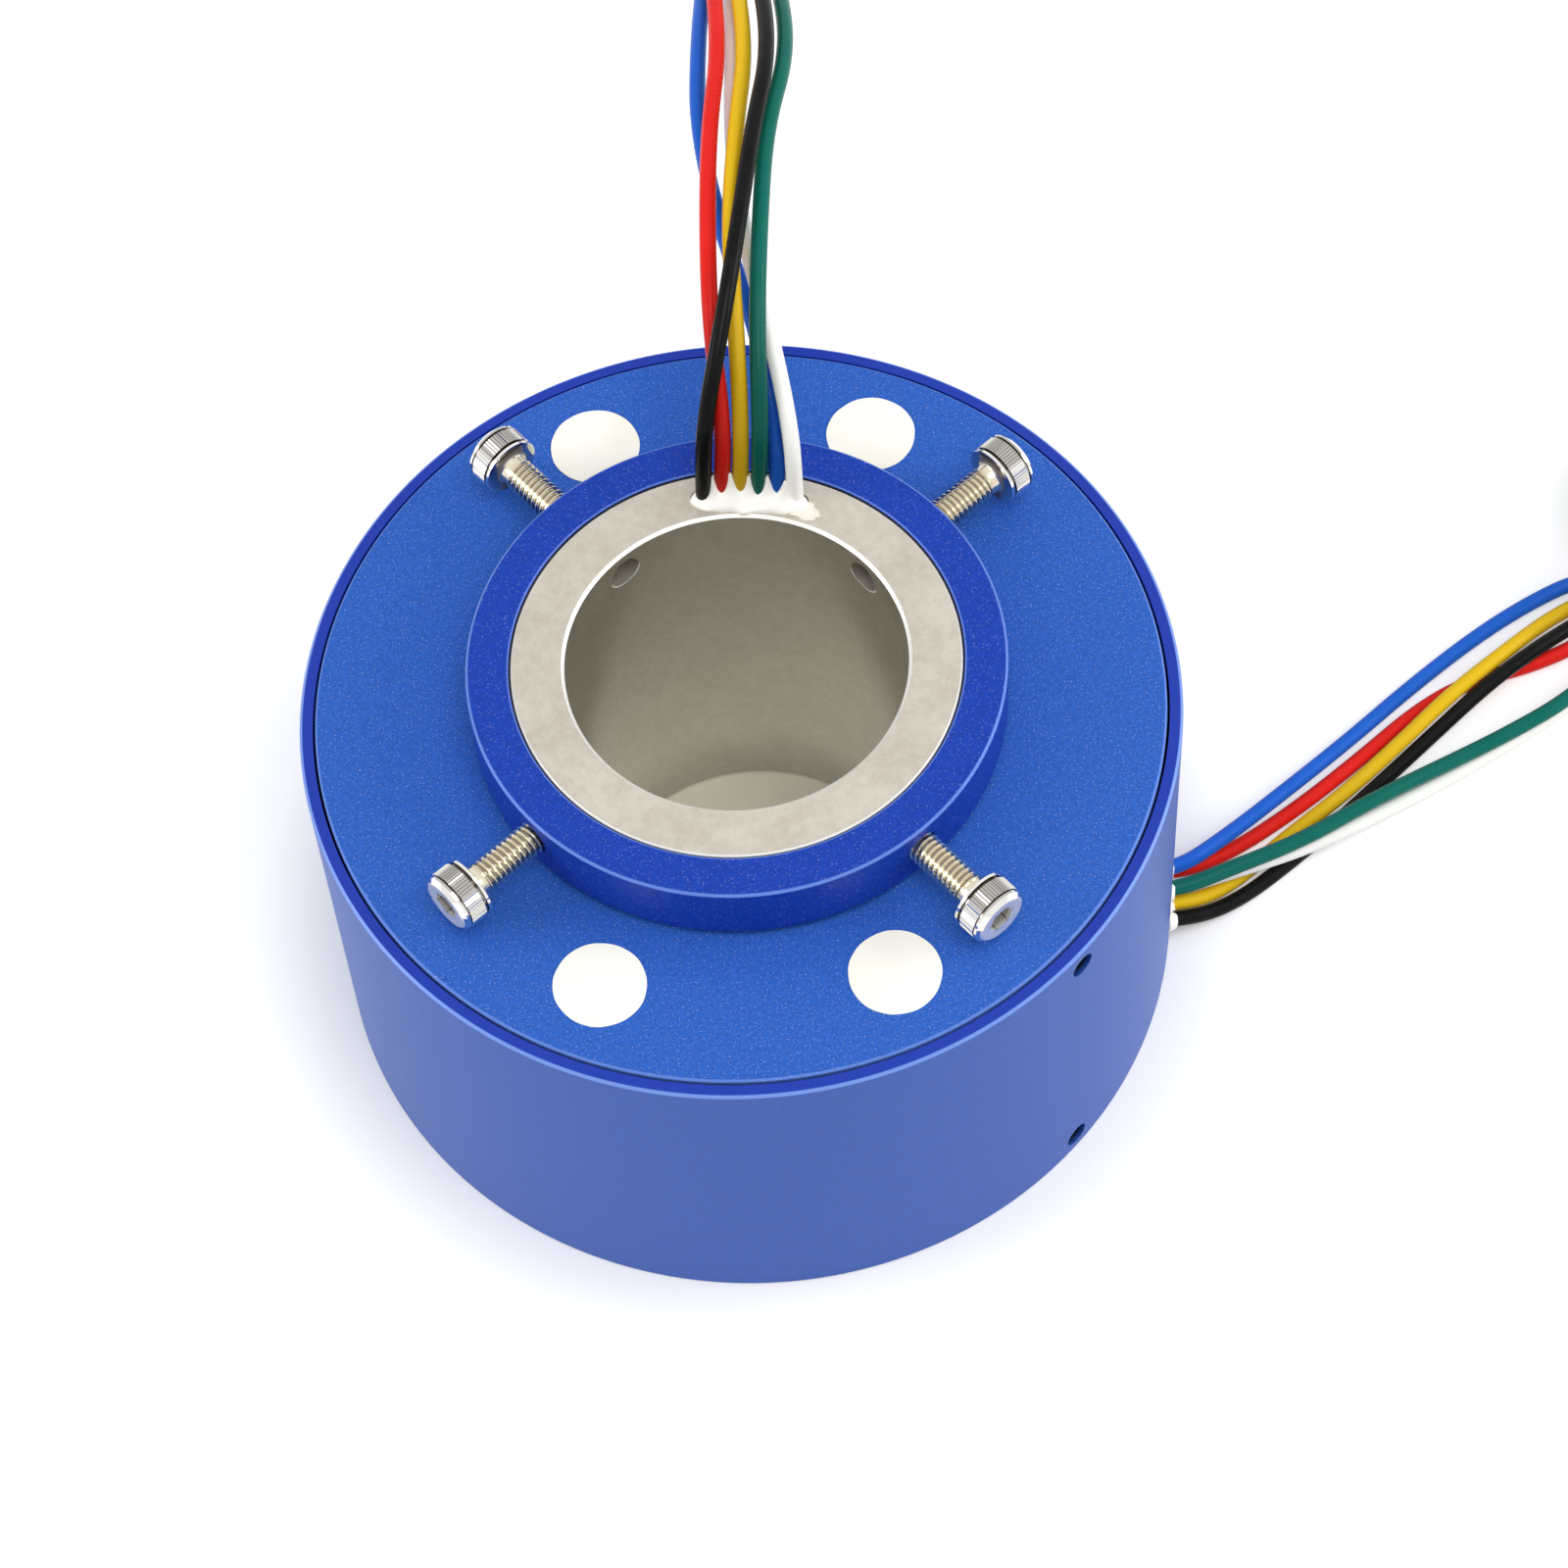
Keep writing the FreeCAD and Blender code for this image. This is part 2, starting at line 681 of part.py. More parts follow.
def brush_holder(side, centre):
    """An insulating holder between the plates, with two posts for the plate screws."""
    low = bottom_seat
    height = top_seat - bottom_seat
    half = sized("holder_half_angle")
    outside = sector(side + "_holder_outside", holder_radius, height, 2 * half, z=low, turn=centre - half)
    inside = cylinder(side + "_holder_inside", holder_inside, height, z=low)
    solids = [less(side + "_holder_wall", outside, [inside])]
    cuts = []
    hole = sized("plate_screw_radius") + sized("thread_gap")
    reach = sized("plate_screw_length") + sized("counterbore_depth") - sized("plate_thickness") + 1
    for index, way in enumerate((-1, 1)):
        x, y = at_angle(centre + way * sized("post_half_angle"), post_pitch)
        solids.append(cylinder(f"{side}_post_{index}", sized("post_radius"), height, x=x, y=y, z=low))
        cuts.append(cylinder(f"{side}_post_low_hole_{index}", hole, reach, x=x, y=y, z=low))
        cuts.append(cylinder(f"{side}_post_top_hole_{index}", hole, reach, x=x, y=y, z=top_seat - reach))
    recess_width = sized("board_width") + 2 * sized("fit_gap")
    recess_height = height - 2 * sized("board_gap") + 2 * sized("fit_gap")
    recess_start = board_face + sized("board_thickness") - sized("board_recess")
    x, y = at_angle(centre, recess_start, -recess_width / 2)
    cuts.append(block(side + "_board_recess", sized("board_recess"), recess_width, recess_height,
                      x=x, y=y, z=low + sized("board_gap") - sized("fit_gap"), turn=centre))
    node(less(side + "_holder", joined(side + "_holder_solid", solids), cuts), side + "_brush_holder")


def brush_set(side, centre):
    """The board in its recess and the pairs of spring wires that touch the rings on both flanks."""
    low = bottom_seat + sized("board_gap")
    height = top_seat - bottom_seat - 2 * sized("board_gap")
    x, y = at_angle(centre, board_face, -sized("board_width") / 2)
    board = block(side + "_board", sized("board_thickness"), sized("board_width"), height,
                  x=x, y=y, z=low, turn=centre)
    node(board, side + "_brush_board")
    flank = math.sqrt(2) * sized("wire_radius") + sized("wire_clearance")
    run_radius = ring_radius - sized("ring_groove") + flank
    far = math.hypot(board_face.value, sized("wire_offset").value)
    lean = math.degrees(math.atan2(sized("wire_offset").value, board_face.value))
    touch = lean + math.degrees(math.acos(run_radius.value / far))
    length = math.sqrt(far ** 2 - run_radius.value ** 2) + sized("wire_overrun") + sized("wire_root")
    wires = []
    for index in range(CIRCUITS):
        height = ring_bottom(index) + sized("ring_width") / 2
        for way in (-1, 1):
            heading = centre + way * (90 + touch)
            x, y = at_angle(centre, board_face, way * sized("wire_offset"))
            back_x, back_y = at_angle(heading, sized("wire_root"))
            name = f"{side}_wire_{index}_{'left' if way > 0 else 'right'}"
            wires.append(cylinder(name, sized("wire_radius"), length, x=x - back_x, y=y - back_y,
                                  z=height, turn=heading, lie=90))
    node(group(side + "_wires", wires), side + "_brush_wires")


def plate_screws(label, face, inward):
    """Socket screws through one plate into the posts of the brush holders."""
    screws = []
    seat = face + inward * sized("counterbore_depth")
    head = sized("plate_screw_head_height")
    for index, angle in enumerate(post_angles):
        x, y = at_angle(angle, post_pitch)
        head_low = seat - head if inward > 0 else seat
        shank_low = seat if inward > 0 else seat - sized("plate_screw_length")
        socket_low = seat - head - 1 if inward > 0 else seat + head / 2
        pieces = [
            cylinder(f"{label}_head_{index}", sized("plate_screw_head_radius"), head, x=x, y=y, z=head_low),
            cylinder(f"{label}_shank_{index}", sized("plate_screw_radius"), sized("plate_screw_length"),
                     x=x, y=y, z=shank_low),
        ]
        socket = hexagon(f"{label}_socket_{index}", sized("plate_screw_socket"), head / 2 + 1,
                         x=x, y=y, z=socket_low)
        screws.append(less(f"{label}_{index}", joined(f"{label}_body_{index}", pieces), [socket]))
    node(group(label + "_set", screws), label)


def cover_stickers():
    stickers = []
    for index, angle in enumerate(post_angles):
        x, y = at_angle(angle, post_pitch)
        stickers.append(cylinder(f"sticker_{index}", sized("sticker_radius"), sized("sticker_thickness"),
                                 x=x, y=y, z=top_face))
    node(group("stickers", stickers), "cover_stickers")


def plate_set_screws():
    """Headless screws through the shell into the edge of each plate."""
    screws = []
    start = shell_radius - sized("grub_recess") - sized("grub_length")
    for height in (sized("grub_inset"), sized("shell_height") - sized("grub_inset")):
        for angle in grub_angles:
            name = f"grub_{len(screws)}"
            x, y = at_angle(angle, start)
            stud = cylinder(name + "_stud", sized("plate_screw_radius"), sized("grub_length"),
                            x=x, y=y, z=height, turn=angle, lie=90)
            x, y = at_angle(angle, start + sized("grub_length") - sized("grub_socket"))
            socket = hexagon(name + "_socket", sized("grub_socket"), 2 * sized("grub_socket"),
                             x=x, y=y, z=height, turn=angle, lie=90)
            screws.append(less(name, stud, [socket]))
    node(group("grubs", screws), "plate_set_screws")


# The leads follow points chosen by hand. Spare length is coiled where each list ends. Turning leads
# start above the sleeve, whose end stood at this height, and fixed leads count x from the shell.
ROUTED_TOP = 56.6
ROTOR_ROUTES = {
    "black": [
        (-1.3, 22.7, 69.4), (1.6, 30.4, 76.9), (4.4, 41.3, 80.2), (7.1, 55.1, 80.3), (10.0, 67.8, 78.6),
        (9.6, 86.5, 71.8), (8.8, 104.0, 60.2), (8.2, 120.5, 43.2), (8.2, 136.6, 25.6), (8.2, 150.0, 10.4),
        (8.2, 157.4, 4.9), (8.2, 163, 3.0),
    ],
    "red": [
        (0.9, 23.5, 68.3), (0.4, 31.9, 75), (1.0, 43, 78.3), (2.2, 57, 78.3), (4.2, 69.8, 76.5),
        (4.3, 86.5, 71.6), (4.1, 104.0, 60.2), (4.0, 120.5, 43.2), (4.0, 136.6, 25.6), (4.0, 150.0, 10.4),
        (4.0, 157.4, 4.9), (4.0, 163, 3.0),
    ],
    "yellow": [
        (2.85, 23.3, 68.3), (3.2, 31.6, 75), (3.4, 42.8, 78.3), (5.2, 56.7, 78.3), (7.3, 69.5, 76.5),
        (6.9, 86.5, 71.7), (6.3, 104.0, 60.2), (6.1, 120.5, 43.2), (6.1, 136.6, 25.6), (6.1, 150.0, 10.4),
        (6.1, 157.4, 4.9), (6.1, 163, 3.0),
    ],
    "green": [
        (4.95, 22.8, 68.3), (5.5, 31.3, 75), (6.8, 42.4, 78.3), (8.6, 56.4, 78.3), (12.1, 68.9, 76.3),
        (12.0, 84.6, 69.9), (10.4, 102.0, 58.0), (8.6, 118.8, 41.3), (8.2, 134.9, 23.8), (8.2, 148.8, 8.2),
        (8.2, 156.9, 2.8), (8.2, 163, 0.95),
    ],
    "blue": [
        (6.7, 24.0, 66.2), (5.6, 33.8, 71.2), (2.5, 45.5, 74.8), (0.9, 59.9, 74.9), (1.8, 73.0, 73.2),
        (3.2, 86.6, 68.7), (3.8, 102.4, 58.0), (4.0, 118.8, 41.3), (4.0, 134.9, 23.8), (4.0, 148.8, 8.2),
        (4.0, 156.9, 2.8), (4.0, 163, 0.95),
    ],
    "white": [
        (8.3, 22.6, 67.4), (6.9, 32.4, 73.1), (4.9, 44.0, 76.0), (4.7, 58.2, 76.1), (5.8, 71.2, 74.3),
        (6.3, 85.8, 69.1), (6.2, 102.2, 58.0), (6.1, 118.8, 41.3), (6.1, 134.9, 23.8), (6.1, 148.8, 8.2),
        (6.1, 156.9, 2.8), (6.1, 163, 0.95),
    ],
}
STATOR_ROUTES = {
    "black": [
        (-5.5, -7.8, 3.1), (-0.5, -8.4, 3.0), (7, -6.1, 1.1), (16.5, 0.5, 0.95), (25.6, 7.8, 0.95),
        (34, 14.6, 1.5), (42, 20.6, 3.1), (48.5, 25.0, 3.1), (55, 29.0, 2.4), (61, 31.4, 3.1),
        (66.5, 31.5, 3.0),
    ],
    "red": [
        (-5.5, -1.5, 3.1), (0.3, -2.0, 3.05), (7.5, 1.2, 1.0), (16.3, 6.4, 0.95), (25, 12.6, 0.95),
        (33.5, 19.2, 0.95), (40.5, 22.6, 0.95), (48, 24.0, 0.95), (54.5, 26.4, 0.95), (60.9, 30.5, 0.95),
        (66.5, 31.5, 0.95),
    ],
    "yellow": [
        (-5.5, -5.7, 3.1), (-0.2, -6.2, 3.0), (6.3, -3.9, 0.95), (14.5, 2.5, 0.95), (22.5, 8.0, 0.95),
        (30.3, 13.9, 2.2), (37.5, 19.8, 3.2), (45, 25.2, 3.0), (51.5, 30.6, 0.95), (57.9, 33.5, 0.95),
        (63.7, 33.6, 0.95),
    ],
    "white": [
        (-5.5, -3.6, 3.1), (0.8, -4.1, 3.3), (8, -2.5, 3.5), (16.5, -0.1, 3.1), (25.3, 3.7, 2.4),
        (34.1, 8.3, 0.95), (44, 13.4, 0.95), (52.3, 18.2, 0.95), (59.5, 24.2, 0.95), (65.3, 28.7, 0.95),
        (70, 29.4, 0.95),
    ],
    "green": [
        (-5.5, -5.1, 5.2), (0, -5.6, 5.3), (7.5, -3.2, 5.6), (16.5, 0.0, 5.2), (26, 5.2, 4.6),
        (34.2, 9.4, 3.1), (43, 13.2, 3.0), (51.5, 17.5, 3.0), (58.7, 23.3, 3.0), (65, 28.4, 3.0),
        (70, 29.4, 3.0),
    ],
    "blue": [
        (-5.5, -2.5, 5.2), (0, -3.0, 5.1), (7.5, 2.4, 3.4), (16, 8.9, 2.4), (24.5, 15.6, 1.4),
        (33, 22.5, 0.95), (42, 28.9, 0.95), (49.5, 33.2, 0.95), (56.1, 35.4, 2.0), (61.9, 34.0, 3.1),
        (66.5, 33.6, 3.0),
    ],
}
ARC_SHARE = 0.45


def rotor_route(index, points):
    """The points of a turning lead: up out of the slot, then over in step with the height of the sleeve."""
    x, y = [size.value for size in at_angle(lead_angle(index), slot_pitch)]
    floor = sized("lead_radius").value
    stretch = sleeve_top.value / ROUTED_TOP
    rise = [(x, y, lead_root.value), (x, y, (sleeve_top + sized("sealant_crown")).value)]
    return rise + [(x, y, floor + (z - floor) * stretch) for x, y, z in points]


def stator_route(points):
    """The points of a fixed lead, as far out as the housing reaches."""
    return [(shell_radius.value + x, y, z) for x, y, z in points]


def lead_tube(name, route):
    """A round lead along straight runs that are joined by tangent arcs as large as the runs allow."""
    radius = sized("lead_radius").value
    points = [Vector(*point) for point in route]
    edges = []
    start = points[0]
    smallest = 1e9
    for before, corner, after in zip(points, points[1:], points[2:]):
        back = before - corner
        ahead = after - corner
        cut = ARC_SHARE * min(back.Length, ahead.Length)
        turn = math.pi - back.getAngle(ahead)
        bend = cut / math.tan(turn / 2)
        smallest = min(smallest, bend)
        back.normalize()
        ahead.normalize()
        entry = corner + back * cut
        leave = corner + ahead * cut
        inward = back + ahead
        inward.normalize()
        middle = corner + inward * (bend / math.cos(turn / 2) - bend)
        edges.append(Part.LineSegment(start, entry).toShape())
        edges.append(Part.Arc(entry, middle, leave).toShape())
        start = leave
    edges.append(Part.LineSegment(start, points[-1]).toShape())
    length = sum(edge.Length for edge in edges)
    profile = Part.Wire([Part.makeCircle(radius, points[0], points[1] - points[0])])
    tube = Part.Wire(edges).makePipeShell([profile], True, False)
    share = tube.Volume / (math.pi * radius ** 2 * length)
    print(f"{name}: length {length:.1f}, smallest bend {smallest:.1f}, volume {share:.5f} of ideal")
    item = doc.addObject("Part::Feature", name + "_tube")
    item.Shape = tube
    return node(item, name)


def coil(label, x, y, height):
    """The outer shape of the coiled spare length of six leads."""
    outside = cylinder(label + "_outside", sized("coil_outer_radius"), height, x=x, y=y)
    inside = cylinder(label + "_inside", sized("coil_inner_radius"), height, x=x, y=y)
    node(less(label + "_ring", outside, [inside]), label)


def rotor_sealant(leads):
    """Sealant in the mouth of the lead slot, with a low crown on the end of the sleeve."""
    crown_top = sleeve_top + sized("sealant_crown")
    plug = kidney("rotor_seal_plug", lead_root, sleeve_top)
    crown = kidney("rotor_seal_crown", sleeve_top, crown_top, sized("sealant_spread"))
    body = joined("rotor_seal_body", [plug, crown])
    node(less("rotor_seal_cut", body, leads), "rotor_lead_sealant")


def stator_sealant(leads):
    low = sized("outlet_low")
    high = sized("outlet_high")
    end = shell_radius - sized("outlet_seal_recess")
    plug = outlet_box("stator_seal_plug", outlet_seal_start, end, low, high, sized("outlet_width"))
    node(less("stator_seal_cut", plug, leads), "stator_lead_sealant")


housing_shell()
end_plate("top_end_plate", top_face, -1, sized("shell_height") - sized("grub_inset"))
end_plate("bottom_end_plate", bottom_face, 1, sized("grub_inset"))
bearing("top", top_bearing)
bearing("bottom", bottom_bearing)
rotor_sleeve()
locking_collar()
clamp_screws()
spacer_and_snap_ring()
contact_barrel()
contact_rings()
rotor_wire_tails()
brush_holder("rear", sized("holder_angle"))
brush_holder("front", sized("holder_angle") - 180)
brush_set("rear", sized("holder_angle"))
brush_set("front", sized("holder_angle") - 180)
plate_screws("top_plate_screws", top_face, -1)
plate_screws("bottom_plate_screws", bottom_face, 1)
cover_stickers()
plate_set_screws()
rotor_leads = [
    lead_tube("rotor_lead_" + colour, rotor_route(CIRCUITS - 1 - place, points))
    for place, (colour, points) in enumerate(ROTOR_ROUTES.items())
]
stator_leads = [
    lead_tube("stator_lead_" + colour, stator_route(points)) for colour, points in STATOR_ROUTES.items()
]
rotor_sealant(rotor_leads)
stator_sealant(stator_leads)
coil("rotor_lead_coil", sized("rotor_coil_x"), sized("rotor_coil_y"), sized("rotor_coil_height"))
stator_coil_x = shell_radius + sized("stator_coil_reach")
coil("stator_lead_coil", stator_coil_x, sized("stator_coil_y"), sized("stator_coil_height"))

doc.recompute()
for item in doc.Objects:
    if "Invalid" in item.State or "Error" in item.State:
        raise RuntimeError(f"{item.Name} failed: {item.State}")
os.makedirs("parts", exist_ok=True)
for item in nodes:
    shape = item.Shape
    if shape.isNull() or not shape.isValid() or not shape.Solids:
        raise RuntimeError(f"{item.Label} has no valid shape")
    shape.exportStep(f"parts/{item.Label}.step")
print(len(nodes), "nodes written")
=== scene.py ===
import math

import bmesh
import bpy
from mathutils import Matrix, Vector


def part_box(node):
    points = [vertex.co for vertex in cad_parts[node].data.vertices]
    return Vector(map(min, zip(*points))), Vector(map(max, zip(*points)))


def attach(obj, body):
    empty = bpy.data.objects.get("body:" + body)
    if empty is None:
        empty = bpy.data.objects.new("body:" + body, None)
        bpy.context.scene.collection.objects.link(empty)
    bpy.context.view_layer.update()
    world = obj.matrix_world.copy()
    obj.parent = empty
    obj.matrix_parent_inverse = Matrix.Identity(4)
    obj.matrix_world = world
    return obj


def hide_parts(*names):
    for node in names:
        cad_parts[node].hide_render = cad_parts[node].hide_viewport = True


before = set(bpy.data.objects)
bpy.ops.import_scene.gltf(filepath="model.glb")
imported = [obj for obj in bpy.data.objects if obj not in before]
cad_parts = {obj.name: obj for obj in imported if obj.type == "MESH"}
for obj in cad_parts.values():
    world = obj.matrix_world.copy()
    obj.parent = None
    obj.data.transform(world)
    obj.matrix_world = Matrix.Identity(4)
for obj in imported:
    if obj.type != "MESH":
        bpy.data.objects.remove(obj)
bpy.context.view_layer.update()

bl_info = {
    "name": "Slip ring with a through bore",
    "version": (1, 0, 0),
    "blender": (4, 5, 0),
    "location": "3D View > Sidebar > Slip Ring",
    "description": "Turned housing, sleeve, collar, screws, sealant and leads of a slip ring",
    "category": "Object",
}

MM = 0.001
UP = Vector((0, 0, 1))
LEAD_COLOURS = ("black", "red", "yellow", "green", "blue", "white")
CLAMP_SCREWS = 4
WHITE = (1, 1, 1, 1)
LAMP_AIM = (0, 0, 0.03)

# How far a cutter stands out past the face that it starts from, and the play round bearings and plate
# screws, in metres.
PAST = 0.001
BEARING_FIT = 0.00002
SCREW_PLAY = 0.0001

# The edge of a hand-cut disc: waves round it, their height as a share of the radius, and their shift.
CUT_WAVES = ((2, 0.006, 1.7), (5, 0.004, 2.3), (11, 0.0025, 0.6))

# Turning leads come down to their coil in two layers: distance behind the axis and height, in millimetres.
UPPER_LAYER = ((136.6, 25.6), (149.0, 10.2), (155.5, 3.2), (162, 3.0))
LOWER_LAYER = ((134.9, 23.8), (148.0, 8.0), (154.5, 1.0), (161, 0.95))


def down(across, layer):
    """The last points of a turning lead, at its place across the layer."""
    return [(across, *spot) for spot in layer]


# The leads follow points chosen one by one, in millimetres. Spare length is coiled where each list ends.
ROTOR_ROUTES = {
    "black": [
        (-2.05, 21.9, 52), (-2.05, 21.9, 57.5), (-1.3, 22.7, 69.4), (1.6, 30.4, 76.9), (4.4, 41.3, 80.2),
        (7.1, 55.1, 80.3), (10.0, 67.8, 78.6), (9.6, 86.5, 71.8), (8.8, 104.0, 60.2), (8.2, 120.5, 43.2),
        *down(8.2, UPPER_LAYER),
    ],
    "red": [
        (0.05, 22, 52), (0.05, 22, 57.5), (0.9, 23.5, 68.3), (0.4, 31.9, 75), (1.0, 43, 78.3),
        (2.2, 57, 78.3), (4.2, 69.8, 76.5), (4.3, 86.5, 71.6), (4.1, 104.0, 60.2), (4.0, 120.5, 43.2),
        *down(4.0, UPPER_LAYER),
    ],
    "yellow": [
        (2.1, 21.9, 52), (2.1, 21.9, 57.5), (2.85, 23.3, 68.3), (3.2, 31.6, 75), (3.4, 42.8, 78.3),
        (5.2, 56.7, 78.3), (7.3, 69.5, 76.5), (6.9, 86.5, 71.7), (6.3, 104.0, 60.2), (6.1, 120.5, 43.2),
        *down(6.1, UPPER_LAYER),
    ],
    "green": [
        (4.2, 21.6, 52), (4.2, 21.6, 57.5), (4.95, 22.8, 68.3), (5.5, 31.3, 75), (6.8, 42.4, 78.3),
        (8.6, 56.4, 78.3), (12.1, 68.9, 76.3), (12.0, 84.6, 69.9), (10.4, 102.0, 58.0), (8.6, 118.8, 41.3),
        *down(8.2, LOWER_LAYER),
    ],
    "blue": [
        (6.25, 21.1, 52), (6.25, 21.1, 57.5), (6.7, 24.0, 66.2), (5.6, 33.8, 71.2), (2.5, 45.5, 74.8),
        (0.9, 59.9, 74.9), (1.8, 73.0, 73.2), (3.2, 86.6, 68.7), (3.8, 102.4, 58.0), (4.0, 118.8, 41.3),
        *down(4.0, LOWER_LAYER),
    ],
    "white": [
        (8.25, 20.4, 52), (8.25, 20.4, 57.5), (8.3, 22.6, 67.4), (6.9, 32.4, 73.1), (4.9, 44.0, 76.0),
        (4.7, 58.2, 76.1), (5.8, 71.2, 74.3), (6.3, 85.8, 69.1), (6.2, 102.2, 58.0), (6.1, 118.8, 41.3),
        *down(6.1, LOWER_LAYER),
    ],
}
STATOR_ROUTES = {
    "black": [
        (44, -7.8, 3.1), (49.0, -8.4, 3.0), (56.5, -6.1, 1.1), (66.0, 0.5, 0.95), (75.1, 7.8, 0.95),
        (83.5, 14.6, 1.5), (91.5, 20.6, 3.1), (98.0, 25.0, 3.1), (104.5, 29.0, 2.4), (110.5, 31.4, 3.1),
        (116, 31.5, 3.0),
    ],
    "red": [
        (44, -1.5, 3.1), (49.8, -2.0, 3.05), (57.0, 1.2, 1.0), (65.8, 6.4, 0.95), (74.5, 12.6, 0.95),
        (83.0, 19.2, 0.95), (90, 22.6, 0.95), (97.5, 24.0, 0.95), (104.0, 26.4, 0.95), (110.4, 30.5, 0.95),
        (116, 31.5, 0.95),
    ],
    "yellow": [
        (44, -5.7, 3.1), (49.3, -6.2, 3.0), (55.8, -3.9, 0.95), (64.0, 2.5, 0.95), (72.0, 8.0, 0.95),
        (79.8, 13.9, 2.2), (87.0, 19.8, 3.2), (94.5, 25.2, 3.0), (101.0, 30.6, 0.95), (107.4, 33.5, 0.95),
        (113.2, 33.6, 0.95),
    ],
    "white": [
        (44, -3.6, 3.1), (50.3, -4.1, 3.3), (57.5, -2.5, 3.5), (66.0, -0.1, 3.1), (74.8, 3.7, 2.4),
        (83.6, 8.3, 0.95), (93.5, 13.4, 0.95), (101.8, 18.2, 0.95), (109, 24.2, 0.95), (114.8, 28.7, 0.95),
        (119.5, 29.4, 0.95),
    ],
    "green": [
        (44, -5.1, 5.2), (49.5, -5.6, 5.3), (57.0, -3.2, 5.6), (66.0, 0.0, 5.2), (75.5, 5.2, 4.6),
        (83.7, 9.4, 3.1), (92.5, 13.2, 3.0), (101.0, 17.5, 3.0), (108.2, 23.3, 3.0), (114.5, 28.4, 3.0),
        (119.5, 29.4, 3.0),
    ],
    "blue": [
        (44, -2.5, 5.2), (49.5, -3.0, 5.1), (57.0, 2.4, 3.4), (65.5, 8.9, 2.4), (74.0, 15.6, 1.4),
        (82.5, 22.5, 0.95), (91.5, 28.9, 0.95), (99.0, 33.2, 0.95), (105.6, 35.4, 2.0), (111.4, 34.0, 3.1),
        (116, 33.6, 3.0),
    ],
}


def paint(code):
    """A colour written as six hexadecimal digits, as the linear values that a material takes."""
    shares = [int(code[start:start + 2], 16) / 255 for start in (0, 2, 4)]
    linear = [share / 12.92 if share <= 0.04045 else ((share + 0.055) / 1.055) ** 2.4 for share in shares]
    return (*linear, 1.0)


def colour_property(name, description, code):
    return bpy.props.FloatVectorProperty(
        name=name, description=description, subtype="COLOR", size=4, min=0, max=1, default=paint(code)
    )


def length_property(name, description, millimetres):
    return bpy.props.FloatProperty(
        name=name, description=description, subtype="DISTANCE", unit="LENGTH", min=0, precision=5,
        default=millimetres * MM,
    )


def angle_property(name, description, degrees):
    return bpy.props.FloatProperty(
        name=name, description=description, subtype="ANGLE", unit="ROTATION", default=math.radians(degrees)
    )


class TurnedSizes(bpy.types.PropertyGroup):
    """Sizes of the turned pieces that their outer boxes don't give."""
    wall: length_property("Shell wall", "Thickness of the shell between the plates", 3.2)
    rim_wall: length_property("Rim wall", "Thickness of the shell beside a plate", 1.5)
    chamfer: length_property("Chamfer", "Broken edge of shell, plates and collar", 0.3)
    eye_radius: length_property("Plate eye", "Radius of the hole in an end plate", 28.5)
    plate_thickness: length_property("Plate thickness", "Thickness of an end plate", 7)
    hub_rise: length_property("Hub end", "How far a hub stands past its bearing", 0.4)
    hub_wall: length_property("Hub wall", "Wall round a bearing pocket", 2.5)
    pocket_ledge: length_property("Pocket ledge", "Ledge that the outer ring of a bearing rests on", 1.9)
    pocket_relief: length_property("Pocket relief", "Step that clears the inner ring of a bearing", 0.3)
    bore_radius: length_property("Bore", "Radius of the bore through the sleeve", 19.05)
    bore_chamfer: length_property("Bore chamfer", "Broken edge of the bore", 0.35)
    groove_depth: length_property("Ring groove", "Depth of the snap ring's groove", 1.0)
    fit: length_property("Running fit", "Clearance of a fit", 0.05)
    wire_hole: length_property("Wire holes", "Radius of the holes from the rings to the slot", 0.65)
    slot_radius: length_property("Slot radius", "Radius of the middle of the lead slot", 22.0)
    slot_half_width: length_property("Slot half width", "Half of the slot's width", 1.1)
    slot_start: angle_property("Slot start", "Angle at which the lead slot starts", 67.0)
    slot_span: angle_property("Slot span", "Angle that the lead slot covers", 29.4)
    first_lead: angle_property("First lead", "Angle of the first lead in the slot", 68.0)
    lead_step: angle_property("Lead step", "Angle between leads in the slot", 5.48)
    outlet_angle: angle_property("Outlet", "Angle of the side outlet", -6.0)
    outlet_width: length_property("Outlet width", "Width of the side outlet", 9.4)
    outlet_low: length_property("Outlet foot", "Height at which the outlet starts", 1.9)
    outlet_high: length_property("Outlet top", "Height at which the outlet ends", 6.9)
    outlet_depth: length_property("Outlet depth", "Radius to which the outlet is cut", 40.0)
    outlet_shelf: length_property("Outlet shelf", "Radius within which the outlet is open upwards", 45.0)
    turn_steps: bpy.props.IntProperty(
        name="Steps", description="Flat strips round a turned piece", default=256, min=64, max=512
    )


